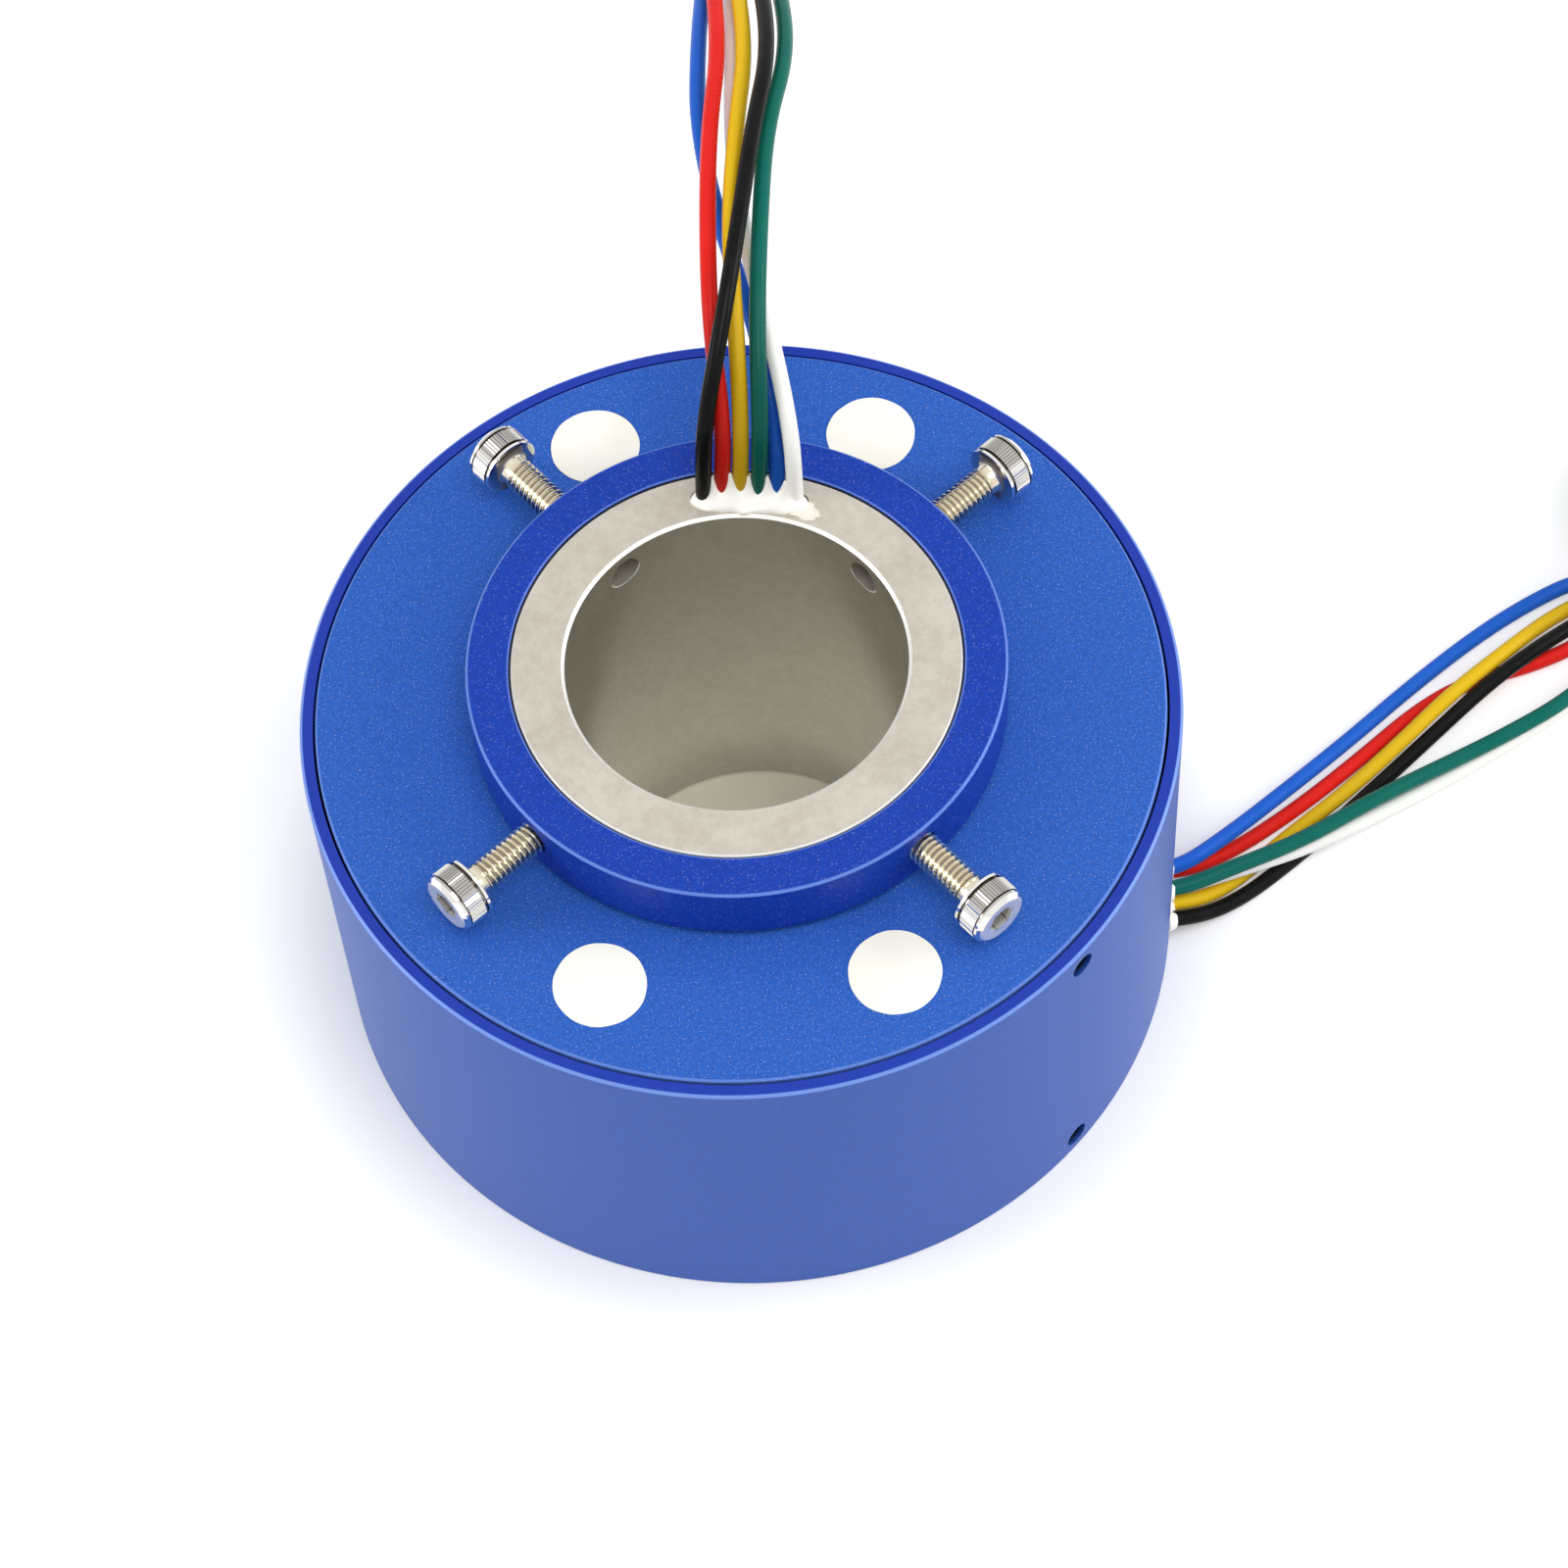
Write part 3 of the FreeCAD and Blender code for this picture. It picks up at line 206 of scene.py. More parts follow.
class ScrewSizes(bpy.types.PropertyGroup):
    """Sizes of the screws and of the discs that cover them."""
    clamp_angle: angle_property("Clamp angle", "Angle of the first clamp screw", 37.6)
    clamp_length: length_property("Clamp length", "Length of a clamp screw under its head", 18.0)
    thread_radius: length_property("Thread radius", "Outer radius of the clamp thread", 1.9)
    thread_pitch: length_property("Thread pitch", "Rise of the clamp thread in one turn", 0.7)
    thread_depth: length_property("Thread depth", "Depth of the clamp thread", 0.36)
    head_height: length_property("Head height", "Height of a clamp head", 3.8)
    socket_width: length_property("Socket", "Width across the flats of the hexagon socket", 3.0)
    socket_depth: length_property("Socket depth", "Depth of the hexagon socket", 2.0)
    knurl_teeth: bpy.props.IntProperty(name="Knurl", description="Teeth of the knurl", default=60, min=12, max=96)
    knurl_depth: length_property("Knurl depth", "Depth of the knurl", 0.08)
    post_centre: angle_property("Plate screws", "Angle halfway between two plate screws", 87.0)
    post_half_angle: angle_property("Plate screw step", "Half the angle between two plate screws", 24.3)
    post_radius: length_property("Plate screw circle", "Radius of the plate screws' circle", 38.8)
    counterbore_radius: length_property("Counterbore", "Radius of a counterbore", 3.0)
    counterbore_depth: length_property("Counterbore depth", "Depth of a counterbore", 3.1)
    plate_screw_radius: length_property("Plate thread", "Radius of the plate screws' thread", 1.5)
    sticker_radius: length_property("Cover disc", "Radius of the discs over the plate screws", 5.15)
    grub_angle: angle_property("Set screws", "Angle of the set screws in the shell", -45.7)
    grub_depth: length_property("Set screw depth", "Depth of the set screw holes", 6.7)
    grub_inset: length_property("Set screw inset", "Distance of the set screws from the shell's ends", 3.1)


class LeadSizes(bpy.types.PropertyGroup):
    """Sizes of the leads and of their coils."""
    diameter: length_property("Diameter", "Outer diameter of one lead", 1.9)
    length: length_property("Length", "Length of one lead", 300)
    coil_pitch: length_property("Coil rise", "Rise of a coil in one turn", 4.1)
    climb_start: bpy.props.FloatProperty(
        name="Climb start", description="Share of a turn at which it starts to rise", default=0.68, min=0, max=1
    )
    climb_end: bpy.props.FloatProperty(
        name="Climb end", description="Share of a turn at which it has risen", default=0.86, min=0, max=1
    )
    points_per_turn: bpy.props.IntProperty(
        name="Points", description="Control points in one turn of a coil", default=20, min=12, max=40
    )


class Finishes(bpy.types.PropertyGroup):
    """Colours of the pieces."""
    shell_side: colour_property("Shell side", "Satin anodised side of the shell", "2052aa")
    shell_rim: colour_property("Shell rim", "Anodised rim of the shell", "0a33a6")
    # Bright edge: painted highlight on the chamfers of the anodised pieces.
    edge: colour_property("Bright edge", "Chamfers of the anodised pieces", "7fa2ee")
    # Holes: painted shade in the set screw holes, on the shell's inner faces and in the collar's bore.
    hole: colour_property("Holes", "Depth of the set screw holes", "0a0b10")
    plate: colour_property("End plate", "Bead-blasted anodised plate", "285fbe")
    collar: colour_property("Collar", "Anodised collar", "123ca9")
    sleeve: colour_property("Sleeve", "Bare turned metal", "c6beaf")
    # Bore: the sleeve's own metal, drawn darker as painted shade.
    bore: colour_property("Bore", "Bare metal inside the bore", "b7b3a4")
    # Bare edge: painted highlight on the sleeve's broken edges and beside the clamp holes.
    painted_highlight: colour_property("Bare edge", "Broken edges of the sleeve", "fbfaf5")
    nickel: colour_property("Nickel", "Bright plated screws", "efede8")
    thread: colour_property("Thread", "Plated thread of the clamp screws", "e8dfc9")
    # Grime: painted shade in the grooves and holes of the clamp screws, and a painted dark reflection on their
    # heads.
    painted_shade: colour_property("Grime", "Grooves of the clamp screws and their holes", "4c453a")
    sticker: colour_property("Cover disc", "Ivory film", "fefdf3")
    sealant: colour_property("Sealant", "White silicone", "fffdf7")
    brass: colour_property("Brass", "Contact rings", "c9a24d")
    black: colour_property("Black lead", "Black insulation", "030404")
    red: colour_property("Red lead", "Red insulation", "ea2219")
    yellow: colour_property("Yellow lead", "Yellow insulation", "eec21a")
    green: colour_property("Green lead", "Green insulation", "00695c")
    blue: colour_property("Blue lead", "Blue insulation", "1c64d2")
    white: colour_property("White lead", "White insulation", "fbfaf5")


class Studio(bpy.types.PropertyGroup):
    """Camera and lamps."""
    place: bpy.props.FloatVectorProperty(
        name="Camera", description="Place of the camera", subtype="XYZ", unit="LENGTH",
        default=(0, -0.272743, 0.488059)
    )
    aim: bpy.props.FloatVectorProperty(
        name="Aim", description="Point that the camera looks at", subtype="XYZ", unit="LENGTH",
        default=(0.004216, 0, 0.028921)
    )
    roll: angle_property("Roll", "Turn of the camera round its own line of sight", -4.319)
    lens: bpy.props.FloatProperty(name="Lens", description="Focal length in millimetres", default=106.2045)
    ambient: bpy.props.FloatProperty(name="Ambient", description="Strength of the light all round", default=0.58)
    overhead: bpy.props.FloatProperty(name="Overhead", description="Power of the upper lamp, in watts", default=3.45)
    right: bpy.props.FloatProperty(name="Right", description="Power of the right lamp, in watts", default=2.7)
    left: bpy.props.FloatProperty(name="Left", description="Power of the left lamp, in watts", default=2.2)


def sizes():
    return bpy.context.scene.turned_sizes


def screws():
    return bpy.context.scene.screw_sizes


def leads():
    return bpy.context.scene.lead_sizes


def finishes():
    return bpy.context.scene.slip_ring_finishes


class Link:
    """One output of a node. Arithmetic on it adds Math nodes."""

    def __init__(self, nodes, socket):
        self.nodes = nodes
        self.socket = socket

    def sibling(self, name):
        """Another output of the same node."""
        return Link(self.nodes, self.socket.node.outputs[name])

    def maths(self, operation, *values):
        return self.nodes.node("ShaderNodeMath", {"operation": operation}, dict(enumerate(values)))

    def __add__(self, other):
        return self.maths("ADD", self, other)

    __radd__ = __add__

    def __sub__(self, other):
        return self.maths("SUBTRACT", self, other)

    def __rsub__(self, other):
        return self.maths("SUBTRACT", other, self)

    def __mul__(self, other):
        return self.maths("MULTIPLY", self, other)

    __rmul__ = __mul__

    def __pow__(self, other):
        return self.maths("POWER", self, other)

    def magnitude(self):
        return self.maths("ABSOLUTE", self)

    def larger(self, other):
        return self.maths("MAXIMUM", self, other)

    def smaller(self, other):
        return self.maths("MINIMUM", self, other)

    def smooth(self, start, end):
        """0 below start, 1 above end, and a smooth step between."""
        settings = {"interpolation_type": "SMOOTHSTEP"}
        return self.nodes.node("ShaderNodeMapRange", settings, {"Value": self, "From Min": start, "From Max": end})

    def within(self, start, full, fade, end):
        """0 up to start, 1 from full to fade, and 0 again from end."""
        return self.smooth(start, full) * (1 - self.smooth(fade, end))


class Nodes:
    """The nodes of a material or a world in the making."""

    def __init__(self, owner):
        owner.use_nodes = True
        self.owner = owner
        self.tree = owner.node_tree
        self.tree.nodes.clear()

    def node(self, kind, settings=None, inputs=None, output=0):
        """Adds a node with its settings, then feeds its sockets, and gives one of its outputs."""
        made = self.tree.nodes.new(kind)
        for name, value in (settings or {}).items():
            setattr(made, name, value)
        for name, value in (inputs or {}).items():
            if isinstance(value, Link):
                self.tree.links.new(value.socket, made.inputs[name])
            else:
                made.inputs[name].default_value = value
        return Link(self, made.outputs[output]) if made.outputs else None


class Finish(Nodes):
    """A node material in the making."""

    def __init__(self, name):
        super().__init__(bpy.data.materials.new(name))
        self.place = self.node("ShaderNodeTexCoord", output="Object")

    def noise(self, size, detail=2, roughness=0.5):
        """Noise whose grains are about this many metres across, from 0 to 1."""
        return self.node("ShaderNodeTexNoise", None, {
            "Vector": self.place, "Scale": 1 / size, "Detail": detail, "Roughness": roughness,
        })

    def rings(self, value, size):
        """Noise along one value alone, as a lathe leaves it."""
        return self.node("ShaderNodeTexNoise", {"noise_dimensions": "1D"},
                         {"W": value, "Scale": 1 / size, "Detail": 1.0})

    def axes(self):
        """The three object coordinates as numbers."""
        split = self.node("ShaderNodeSeparateXYZ", None, {"Vector": self.place})
        return [split.sibling(name) for name in "XYZ"]

    def radius(self):
        """Distance from the axis."""
        x, y, _ = self.axes()
        return (x * x + y * y) ** 0.5

    def clamp_distance(self):
        """Distance from the axis of the nearest clamp screw, and height above it."""
        low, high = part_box("clamp_screws")
        turn = screws().clamp_angle
        x, y, z = self.axes()
        first = (x * math.sin(turn) - y * math.cos(turn)).magnitude()
        second = (x * math.cos(turn) + y * math.sin(turn)).magnitude()
        across = first.smaller(second)
        lift = z - (low.z + high.z) / 2
        return (across * across + lift * lift) ** 0.5, lift

    def tint(self, share, first, second):
        """A colour between two, by a share from 0 to 1."""
        return self.node("ShaderNodeMix", {"data_type": "RGBA"}, {0: share, 6: first, 7: second}, output=2)

    def mottled(self, share, colour, dark, light):
        """A colour that wanders between a darker and a lighter shade of itself."""
        return self.tint(share.smooth(0.3, 0.7), scaled(colour, dark), scaled(colour, light))

    def bump(self, height, depth):
        """A normal from a height of 0 to 1 that stands for this many metres."""
        return self.node("ShaderNodeBump", None, {"Height": height, "Distance": depth, "Strength": 1.0})

    def done(self, **inputs):
        """Adds the surface shader and gives the material. An underscore stands for a space."""
        named = {name.replace("_", " "): value for name, value in inputs.items()}
        shader = self.node("ShaderNodeBsdfPrincipled", None, named)
        self.node("ShaderNodeOutputMaterial", None, {"Surface": shader})
        return self.owner


def mixed(first, second, share):
    """A plain colour between two, worked out once."""
    return tuple(a + (b - a) * share for a, b in zip(first, second))


def scaled(colour, share):
    """A lighter or darker colour of the same hue."""
    return (*(min(1.0, value * share) for value in colour[:3]), 1.0)


def shell_finish():
    """Satin anodising, fine grain, deeper rim, painted highlight on the top chamfer and painted shade in the holes.
    """
    colours = finishes()
    made = Finish("shell_anodised")
    _, _, height = made.axes()
    distance = made.radius()
    outside, _, top = span("housing_shell")
    chamfer = sizes().chamfer
    rim = height.smooth(top - chamfer * 1.3, top - chamfer * 0.8)
    # Painted highlight: the top outer chamfer is drawn in the bright edge colour.
    line = rim * distance.smooth(outside - chamfer * 1.3, outside - chamfer * 0.8)
    # Painted shade: the screw holes and the faces set back from the outer side, below the top, are drawn dark.
    depth = (1 - distance.smooth(outside - 0.0008, outside - 0.0001)) * (1 - height.smooth(top - 0.002, top - 0.001))
    lines = made.rings(height, 1 / 9000)
    grain = made.noise(0.0002, 2)
    side = made.mottled(grain, colours.shell_side, 0.84, 1.16)
    flat = made.mottled(grain, colours.shell_rim, 0.9, 1.1)
    edge = made.tint(line * 0.8, made.tint(rim, side, flat), colours.edge)
    return made.done(
        Base_Color=made.tint(depth, edge, colours.hole),
        Metallic=0.4 - rim * 0.2,
        Specular_IOR_Level=0.4,
        Roughness=0.46 - rim * 0.06 + (grain - 0.5) * 0.08,
        Normal=made.bump(lines * 0.5 + grain, 0.000004),
    )


def plate_finish():
    """Bead-blasted and anodised: fine grain, tiny bright facets as painted glints, paler edge as painted highlight.
    """
    colours = finishes()
    made = Finish("plate_anodised")
    outside, _, _ = span("top_end_plate")
    # Painted highlight on the outer chamfer.
    line = made.radius().smooth(outside - sizes().chamfer, outside - sizes().chamfer * 0.6)
    soft = made.noise(0.0006, 3)
    speckle = made.noise(0.00024, 2, roughness=0.6)
    # Painted glints: the brightest grains are drawn paler, towards white; they are also made smoother.
    painted_glints = speckle.smooth(0.56, 0.74)
    pit = 1 - speckle.smooth(0.28, 0.46)
    base = made.mottled(soft, colours.plate, 0.88, 1.06)
    darker = made.tint(pit * 0.5, base, scaled(colours.plate, 0.6))
    blasted = made.tint(painted_glints * 0.42, darker, mixed(colours.plate, WHITE, 0.45))
    return made.done(
        Base_Color=made.tint(line * 0.5, blasted, colours.edge),
        Metallic=0.15,
        Specular_IOR_Level=0.2,
        Roughness=0.55 - painted_glints * 0.15,
        Normal=made.bump(speckle, 0.00002),
    )


def collar_finish():
    """Turned and anodised: fine grain, painted glints, painted highlight on the outer chamfer, painted shade inside.
    """
    colours = finishes()
    made = Finish("collar_anodised")
    _, _, height = made.axes()
    distance = made.radius()
    outside, _, top = span("locking_collar")
    inside, _, _ = span("rotor_sleeve")
    chamfer = sizes().chamfer
    # Painted highlight on the outer top chamfer.
    rim = height.smooth(top - chamfer * 1.2, top - chamfer * 0.7) * distance.smooth(
        outside - chamfer * 1.2, outside - chamfer * 0.7)
    # Painted shade: the inner chamfer and the bore are drawn in the dark hole colour.
    gap = 1 - distance.smooth(inside + chamfer * 0.6, inside + chamfer * 0.8)
    # Painted highlight: a thin bright ring on the top face beside the inner chamfer.
    inner_edge_highlight = distance.within(inside + chamfer * 0.8, inside + chamfer * 0.9, inside + chamfer * 1.3,
                          inside + chamfer * 1.5)
    grain = made.noise(0.00024, 2)
    # Painted glints: the brightest grains are drawn paler, towards white.
    painted_specks = grain.smooth(0.58, 0.76)
    pit = 1 - grain.smooth(0.28, 0.46)
    soft = made.noise(0.0006, 3)
    even = made.mottled(soft, colours.collar, 0.9, 1.08)
    base = made.tint(pit * 0.45, even, scaled(colours.collar, 0.65))
    blasted = made.tint(painted_specks * 0.4, base, mixed(colours.collar, WHITE, 0.3))
    return made.done(
        Base_Color=made.tint(gap, made.tint(rim * 0.6 + inner_edge_highlight * 0.45, blasted, colours.edge), colours.hole),
        Metallic=0.15,
        Specular_IOR_Level=0.2,
        Roughness=0.45 + (grain - 0.5) * 0.12,
        Normal=made.bump(grain, 0.000008),
    )


def sleeve_finish():
    """Bare turned metal with painted highlights on broken edges, and a duller, warmer bore darkened as painted
    shade.
    """
    colours = finishes()
    made = Finish("sleeve_metal")
    distance = made.radius()
    _, _, height = made.axes()
    outside, foot, top = span("rotor_sleeve")
    bore = sizes().bore_radius
    chamfer = sizes().bore_chamfer
    inside = 1 - distance.smooth(bore, bore + 0.0001)
    high = height.smooth(top - chamfer * 1.3, top - chamfer)
    # Painted highlight on the bore chamfer and on the outer chamfer of the end face.
    line = high * (1 - distance.smooth(bore + chamfer * 0.9, bore + chamfer * 1.1))
    rim = high * distance.smooth(outside - chamfer * 0.6, outside - chamfer * 0.45)
    cloud = made.noise(0.006, 4, roughness=0.6)
    smear = made.noise(0.0012, 3)
    grain = made.noise(0.00025, 2)
    rings = made.rings(distance + height, 1 / 8000)
    mottle = cloud.smooth(0.3, 0.7) * 0.45 + smear.smooth(0.35, 0.65) * 0.3 + grain.smooth(0.3, 0.7) * 0.25
    face = made.tint(mottle, scaled(colours.sleeve, 0.9), mixed(colours.sleeve, WHITE, 0.18))
    # Painted shade: the bore is the sleeve's own metal, drawn in a darker colour than the end face.
    wall = made.tint(mottle, scaled(colours.bore, 0.86), mixed(colours.bore, WHITE, 0.06))
    # Painted shade: the bore darkens towards its foot.
    wall = made.tint((1 - height.smooth(foot, foot + 0.012)) * 0.45, wall, scaled(colours.bore, 0.25))
    bright = line.larger(rim)
    bare = made.tint(bright, made.tint(inside, face, wall), colours.painted_highlight)
    screw, lift = made.clamp_distance()
    hole = screws().thread_radius + sizes().fit
    # Painted shade: the walls of the clamp holes are drawn dark.
    dark = 1 - screw.smooth(hole - 0.0001, hole + 0.00005)
    # Painted highlight: a bright crescent on the bore at the lower side of each clamp hole.
    ring = screw.within(hole, hole + 0.00008, hole + 0.0002, hole + 0.0003) * inside
    below = 1 - lift.smooth(-0.0012, 0.0002)
    return made.done(
        Base_Color=made.tint(dark * 0.85, made.tint(ring * below * 0.8, bare, colours.painted_highlight), colours.painted_shade),
        Metallic=0.6 + inside * 0.3 - bright * 0.3 - ring * below * 0.7,
        Roughness=0.42 + (cloud - 0.5) * 0.16 - inside * 0.06,
        Normal=made.bump(rings * 0.6 + smear * 0.4, 0.000005),
    )


def bright_finish(name, colour, roughness):
    """Plated or polished metal with fine wear."""
    made = Finish(name)
    cloud = made.noise(0.0016, 4, roughness=0.65)
    fine = made.noise(0.00012, 2)
    return made.done(
        Base_Color=colour,
        Metallic=1.0,
        Roughness=roughness + (cloud - 0.5) * 0.12,
        Normal=made.bump(fine, 0.000002),
    )


def clamp_screw_finish():
    """Nickel plating, warmer on the thread, painted shade in every groove, measured from each screw's own axis."""
    colours = finishes()
    made = Finish("nickel_screw")
    low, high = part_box("clamp_screws")
    head = (high.z - low.z) / 2
    distance, lift = made.clamp_distance()
    out = made.radius()
    seat = clamp_seat()
    on_head = out.smooth(seat - 0.0002, seat - 0.0001)
    crest = screws().thread_radius
    root = crest - screws().thread_depth
    # Painted shade in the grooves of the thread and of the knurl.
    thread_groove = 1 - distance.smooth(root, crest - screws().thread_depth * 0.35)
    knurl_groove = 1 - distance.smooth(head - screws().knurl_depth, head - screws().knurl_depth * 0.4)
    band = out.within(seat + 0.0004, seat + 0.0006, seat + 0.0032, seat + 0.0034)
    bearing = out.within(seat - 0.0002, seat - 0.0001, seat + 0.00002, seat + 0.00006)
    end_face = seat - screws().clamp_length
    tip = 1 - out.smooth(end_face + 0.0006, end_face + 0.0012)
    face = seat + screws().head_height
    # Painted dark reflection: the head is drawn darker on its upper side.
    upper_dark_reflection = lift.smooth(head * 0.7, head * 0.86)
    end = out.smooth(face - 0.0001, face)
    below_rim = on_head * (1 - out.smooth(face - 0.0005, face - 0.0004))
    slot = below_rim * (1 - distance.smooth(head * 0.955, head * 0.975))
    socket = on_head * (1 - distance.smooth(0.0016, 0.0018))
    # Painted shade in grooves, at the tip and where the head bears; a painted dark reflection on the upper side.
    on_shank = (1 - on_head) * thread_groove * 0.6 + tip * 0.5 + bearing * 0.5
    on_side = on_head * band * (knurl_groove * 0.35 + upper_dark_reflection * 0.45)
    dark = on_shank + on_side + slot * (0.35 + upper_dark_reflection * 0.5) * (1 - socket)
    cloud = made.noise(0.0016, 4, roughness=0.65)
    fine = made.noise(0.00012, 2)
    plated = made.tint(on_head, colours.thread, colours.nickel)
    return made.done(
        Base_Color=made.tint(dark, plated, colours.painted_shade),
        Metallic=1.0 - bearing * 0.5 - end * 0.45 - socket * 0.4,
        Roughness=0.1 + (cloud - 0.5) * 0.08 + (1 - on_head) * 0.08 + bearing * 0.4 + end * 0.15,
        Normal=made.bump(fine, 0.000002),
    )


def film_finish(name, colour):
    """Thin film, matt, with a slight yellowing in places."""
    made = Finish(name)
    cloud = made.noise(0.009, 2)
    grain = made.noise(0.0002, 2)
    return made.done(
        Base_Color=made.tint(cloud.smooth(0.3, 0.7), mixed(colour, paint("f8f2d4"), 0.3), colour),
        Roughness=0.55 + (grain - 0.5) * 0.1,
        Normal=made.bump(grain, 0.000004),
    )


def rubber_finish(name, colour, roughness=0.38, lumps=0.00002, shine=0.3, shade=0.0):
    """Extruded or poured soft plastic with slight unevenness, shaded where the leads crowd together."""
    made = Finish(name)
    cloud = made.noise(0.0035, 3)
    fine = made.noise(0.0004, 3)
    crowded = (1 - made.radius().smooth(0.023, 0.042)) * shade
    even = made.tint(cloud, scaled(colour, 0.92), mixed(colour, WHITE, 0.01))
    return made.done(
        Base_Color=made.tint(crowded, even, scaled(colour, 0.1)),
        Specular_IOR_Level=shine,
        Roughness=roughness + (fine - 0.5) * 0.14,
        Normal=made.bump(cloud * 0.7 + fine * 0.3, lumps),
    )


def sealant_finish():
    """White silicone, warmer and greyer where it is smeared thinly over the end of the sleeve."""
    colours = finishes()
    made = Finish("sealant")
    _, _, height = made.axes()
    _, _, top = span("rotor_sleeve")
    thin = (1 - height.smooth(top + 0.00002, top + 0.0002)) * height.smooth(top - 0.001, top - 0.0005)
    cloud = made.noise(0.0035, 3)
    fine = made.noise(0.0004, 3)
    even = made.tint(cloud, scaled(colours.sealant, 0.95), colours.sealant)
    return made.done(
        Base_Color=made.tint(thin * 0.65, even, mixed(colours.sleeve, paint("f6ecd0"), 0.5)),
        Specular_IOR_Level=0.3,
        Roughness=0.42 + (fine - 0.5) * 0.14,
        Normal=made.bump(cloud * 0.7 + fine * 0.3, 0.00006),
    )


def span(node):
    """Outer radius, lowest and highest point of a node that lies round the axis."""
    low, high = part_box(node)
    return high.x, low.z, high.z


def polar(angle, radius, height=0.0, across=0.0):
    """A point at an angle and radius, moved sideways by across."""
    return Vector((
        radius * math.cos(angle) - across * math.sin(angle),
        radius * math.sin(angle) + across * math.cos(angle),
        height,
    ))


def turned(outline, angle=math.tau):
    """A closed outline of radii and heights, turned round the axis."""
    form = bmesh.new()
    points = [form.verts.new((radius, 0, height)) for radius, height in outline]
    edges = [form.edges.new(pair) for pair in zip(points, points[1:] + points[:1])]
    full = angle == math.tau
    steps = sizes().turn_steps if full else 24
    bmesh.ops.spin(form, geom=points + edges, axis=UP, angle=angle, steps=steps, use_merge=full)
    if not full:
        bmesh.ops.holes_fill(form, edges=[edge for edge in form.edges if edge.is_boundary])
    bmesh.ops.recalc_face_normals(form, faces=form.faces)
    return form


def drill(start, end, radius, segments=48):
    """A round cutter from one point to another."""
    form = bmesh.new()
    way = end - start
    matrix = Matrix.Translation((start + end) / 2) @ way.to_track_quat("Z", "Y").to_matrix().to_4x4()
    bmesh.ops.create_cone(form, cap_ends=True, segments=segments, radius1=radius, radius2=radius,
                          depth=way.length, matrix=matrix)
    return form


def box_cutter(angle, start, end, low, high, width):
    """A box cutter that lies radially at an angle."""
    form = bmesh.new()
    scale = Matrix.Diagonal((end - start, width, high - low, 1))
    turn = Matrix.Rotation(angle, 4, "Z")
    place = Matrix.Translation(polar(angle, (start + end) / 2, (low + high) / 2))
    bmesh.ops.create_cube(form, size=1, matrix=place @ turn @ scale)
    return form


def mesh_from(form, name):
    mesh = bpy.data.meshes.new(name)
    form.to_mesh(mesh)
    form.free()
    return mesh


def cut(form, cutters):
    """Takes the cutters out of a form, one after the other."""
    body = bpy.data.objects.new("blank", mesh_from(form, "blank"))
    bpy.context.scene.collection.objects.link(body)
    tools = []
    for cutter in cutters:
        tool = bpy.data.objects.new("cutter", mesh_from(cutter, "cutter"))
        bpy.context.scene.collection.objects.link(tool)
        step = body.modifiers.new("cut", "BOOLEAN")
        step.operation = "DIFFERENCE"
        step.solver = "EXACT"
        step.object = tool
        tools.append(tool)
    bpy.context.view_layer.update()
    final = bpy.data.meshes.new_from_object(body.evaluated_get(bpy.context.evaluated_depsgraph_get()))
    result = bmesh.new()
    result.from_mesh(final)
    for item in [body, *tools]:
        bpy.data.objects.remove(item)
    bmesh.ops.remove_doubles(result, verts=result.verts, dist=1e-7)
    return result


def piece(name, form, material, body, nodes, sharp=28):
    """Makes the finished object of a form, which rides on a body and stands for its nodes."""
    mesh = mesh_from(form, name)
    mesh.polygons.foreach_set("use_smooth", [True] * len(mesh.polygons))
    mesh.set_sharp_from_angle(angle=math.radians(sharp))
    mesh.materials.append(material)
    item = bpy.data.objects.new(name, mesh)
    bpy.context.scene.collection.objects.link(item)
    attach(item, body)
    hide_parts(*nodes)
    return item


def post_angles():
    made = screws()
    return [
        made.post_centre + half + side * made.post_half_angle
        for half in (0, -math.pi)
        for side in (-1, 1)
    ]


def grub_bores(height):
    """Cutters for the set screw holes of one plate."""
    radius, _, _ = span("housing_shell")
    bore = screws().plate_screw_radius + sizes().fit
    end = radius - screws().grub_depth
    return [drill(polar(angle, end, height), polar(angle, radius + PAST, height), bore, 64)
            for angle in (screws().grub_angle, screws().grub_angle + math.pi)]


def housing_shell():
    """The shell: a tube with a seat for a plate at each end, the side outlet and the set screw holes."""
    radius, foot, top = span("housing_shell")
    _, plate_foot, _ = span("top_end_plate")
    _, _, plate_top = span("bottom_end_plate")
    made = sizes()
    seat = radius - made.rim_wall
    inside = radius - made.wall
    chamfer = made.chamfer
    form = turned([
        (inside, plate_top), (seat, plate_top), (seat, foot), (radius - chamfer, foot), (radius, foot + chamfer),
        (radius, top - chamfer), (radius - chamfer, top), (seat, top), (seat, plate_foot), (inside, plate_foot),
    ])
    outlet = box_cutter(made.outlet_angle, inside, radius + PAST, made.outlet_low, made.outlet_high,
                        made.outlet_width)
    cutters = [outlet] + grub_bores(screws().grub_inset) + grub_bores(top - screws().grub_inset)
    piece("shell", cut(form, cutters), shell_finish(), "housing", ["housing_shell"])


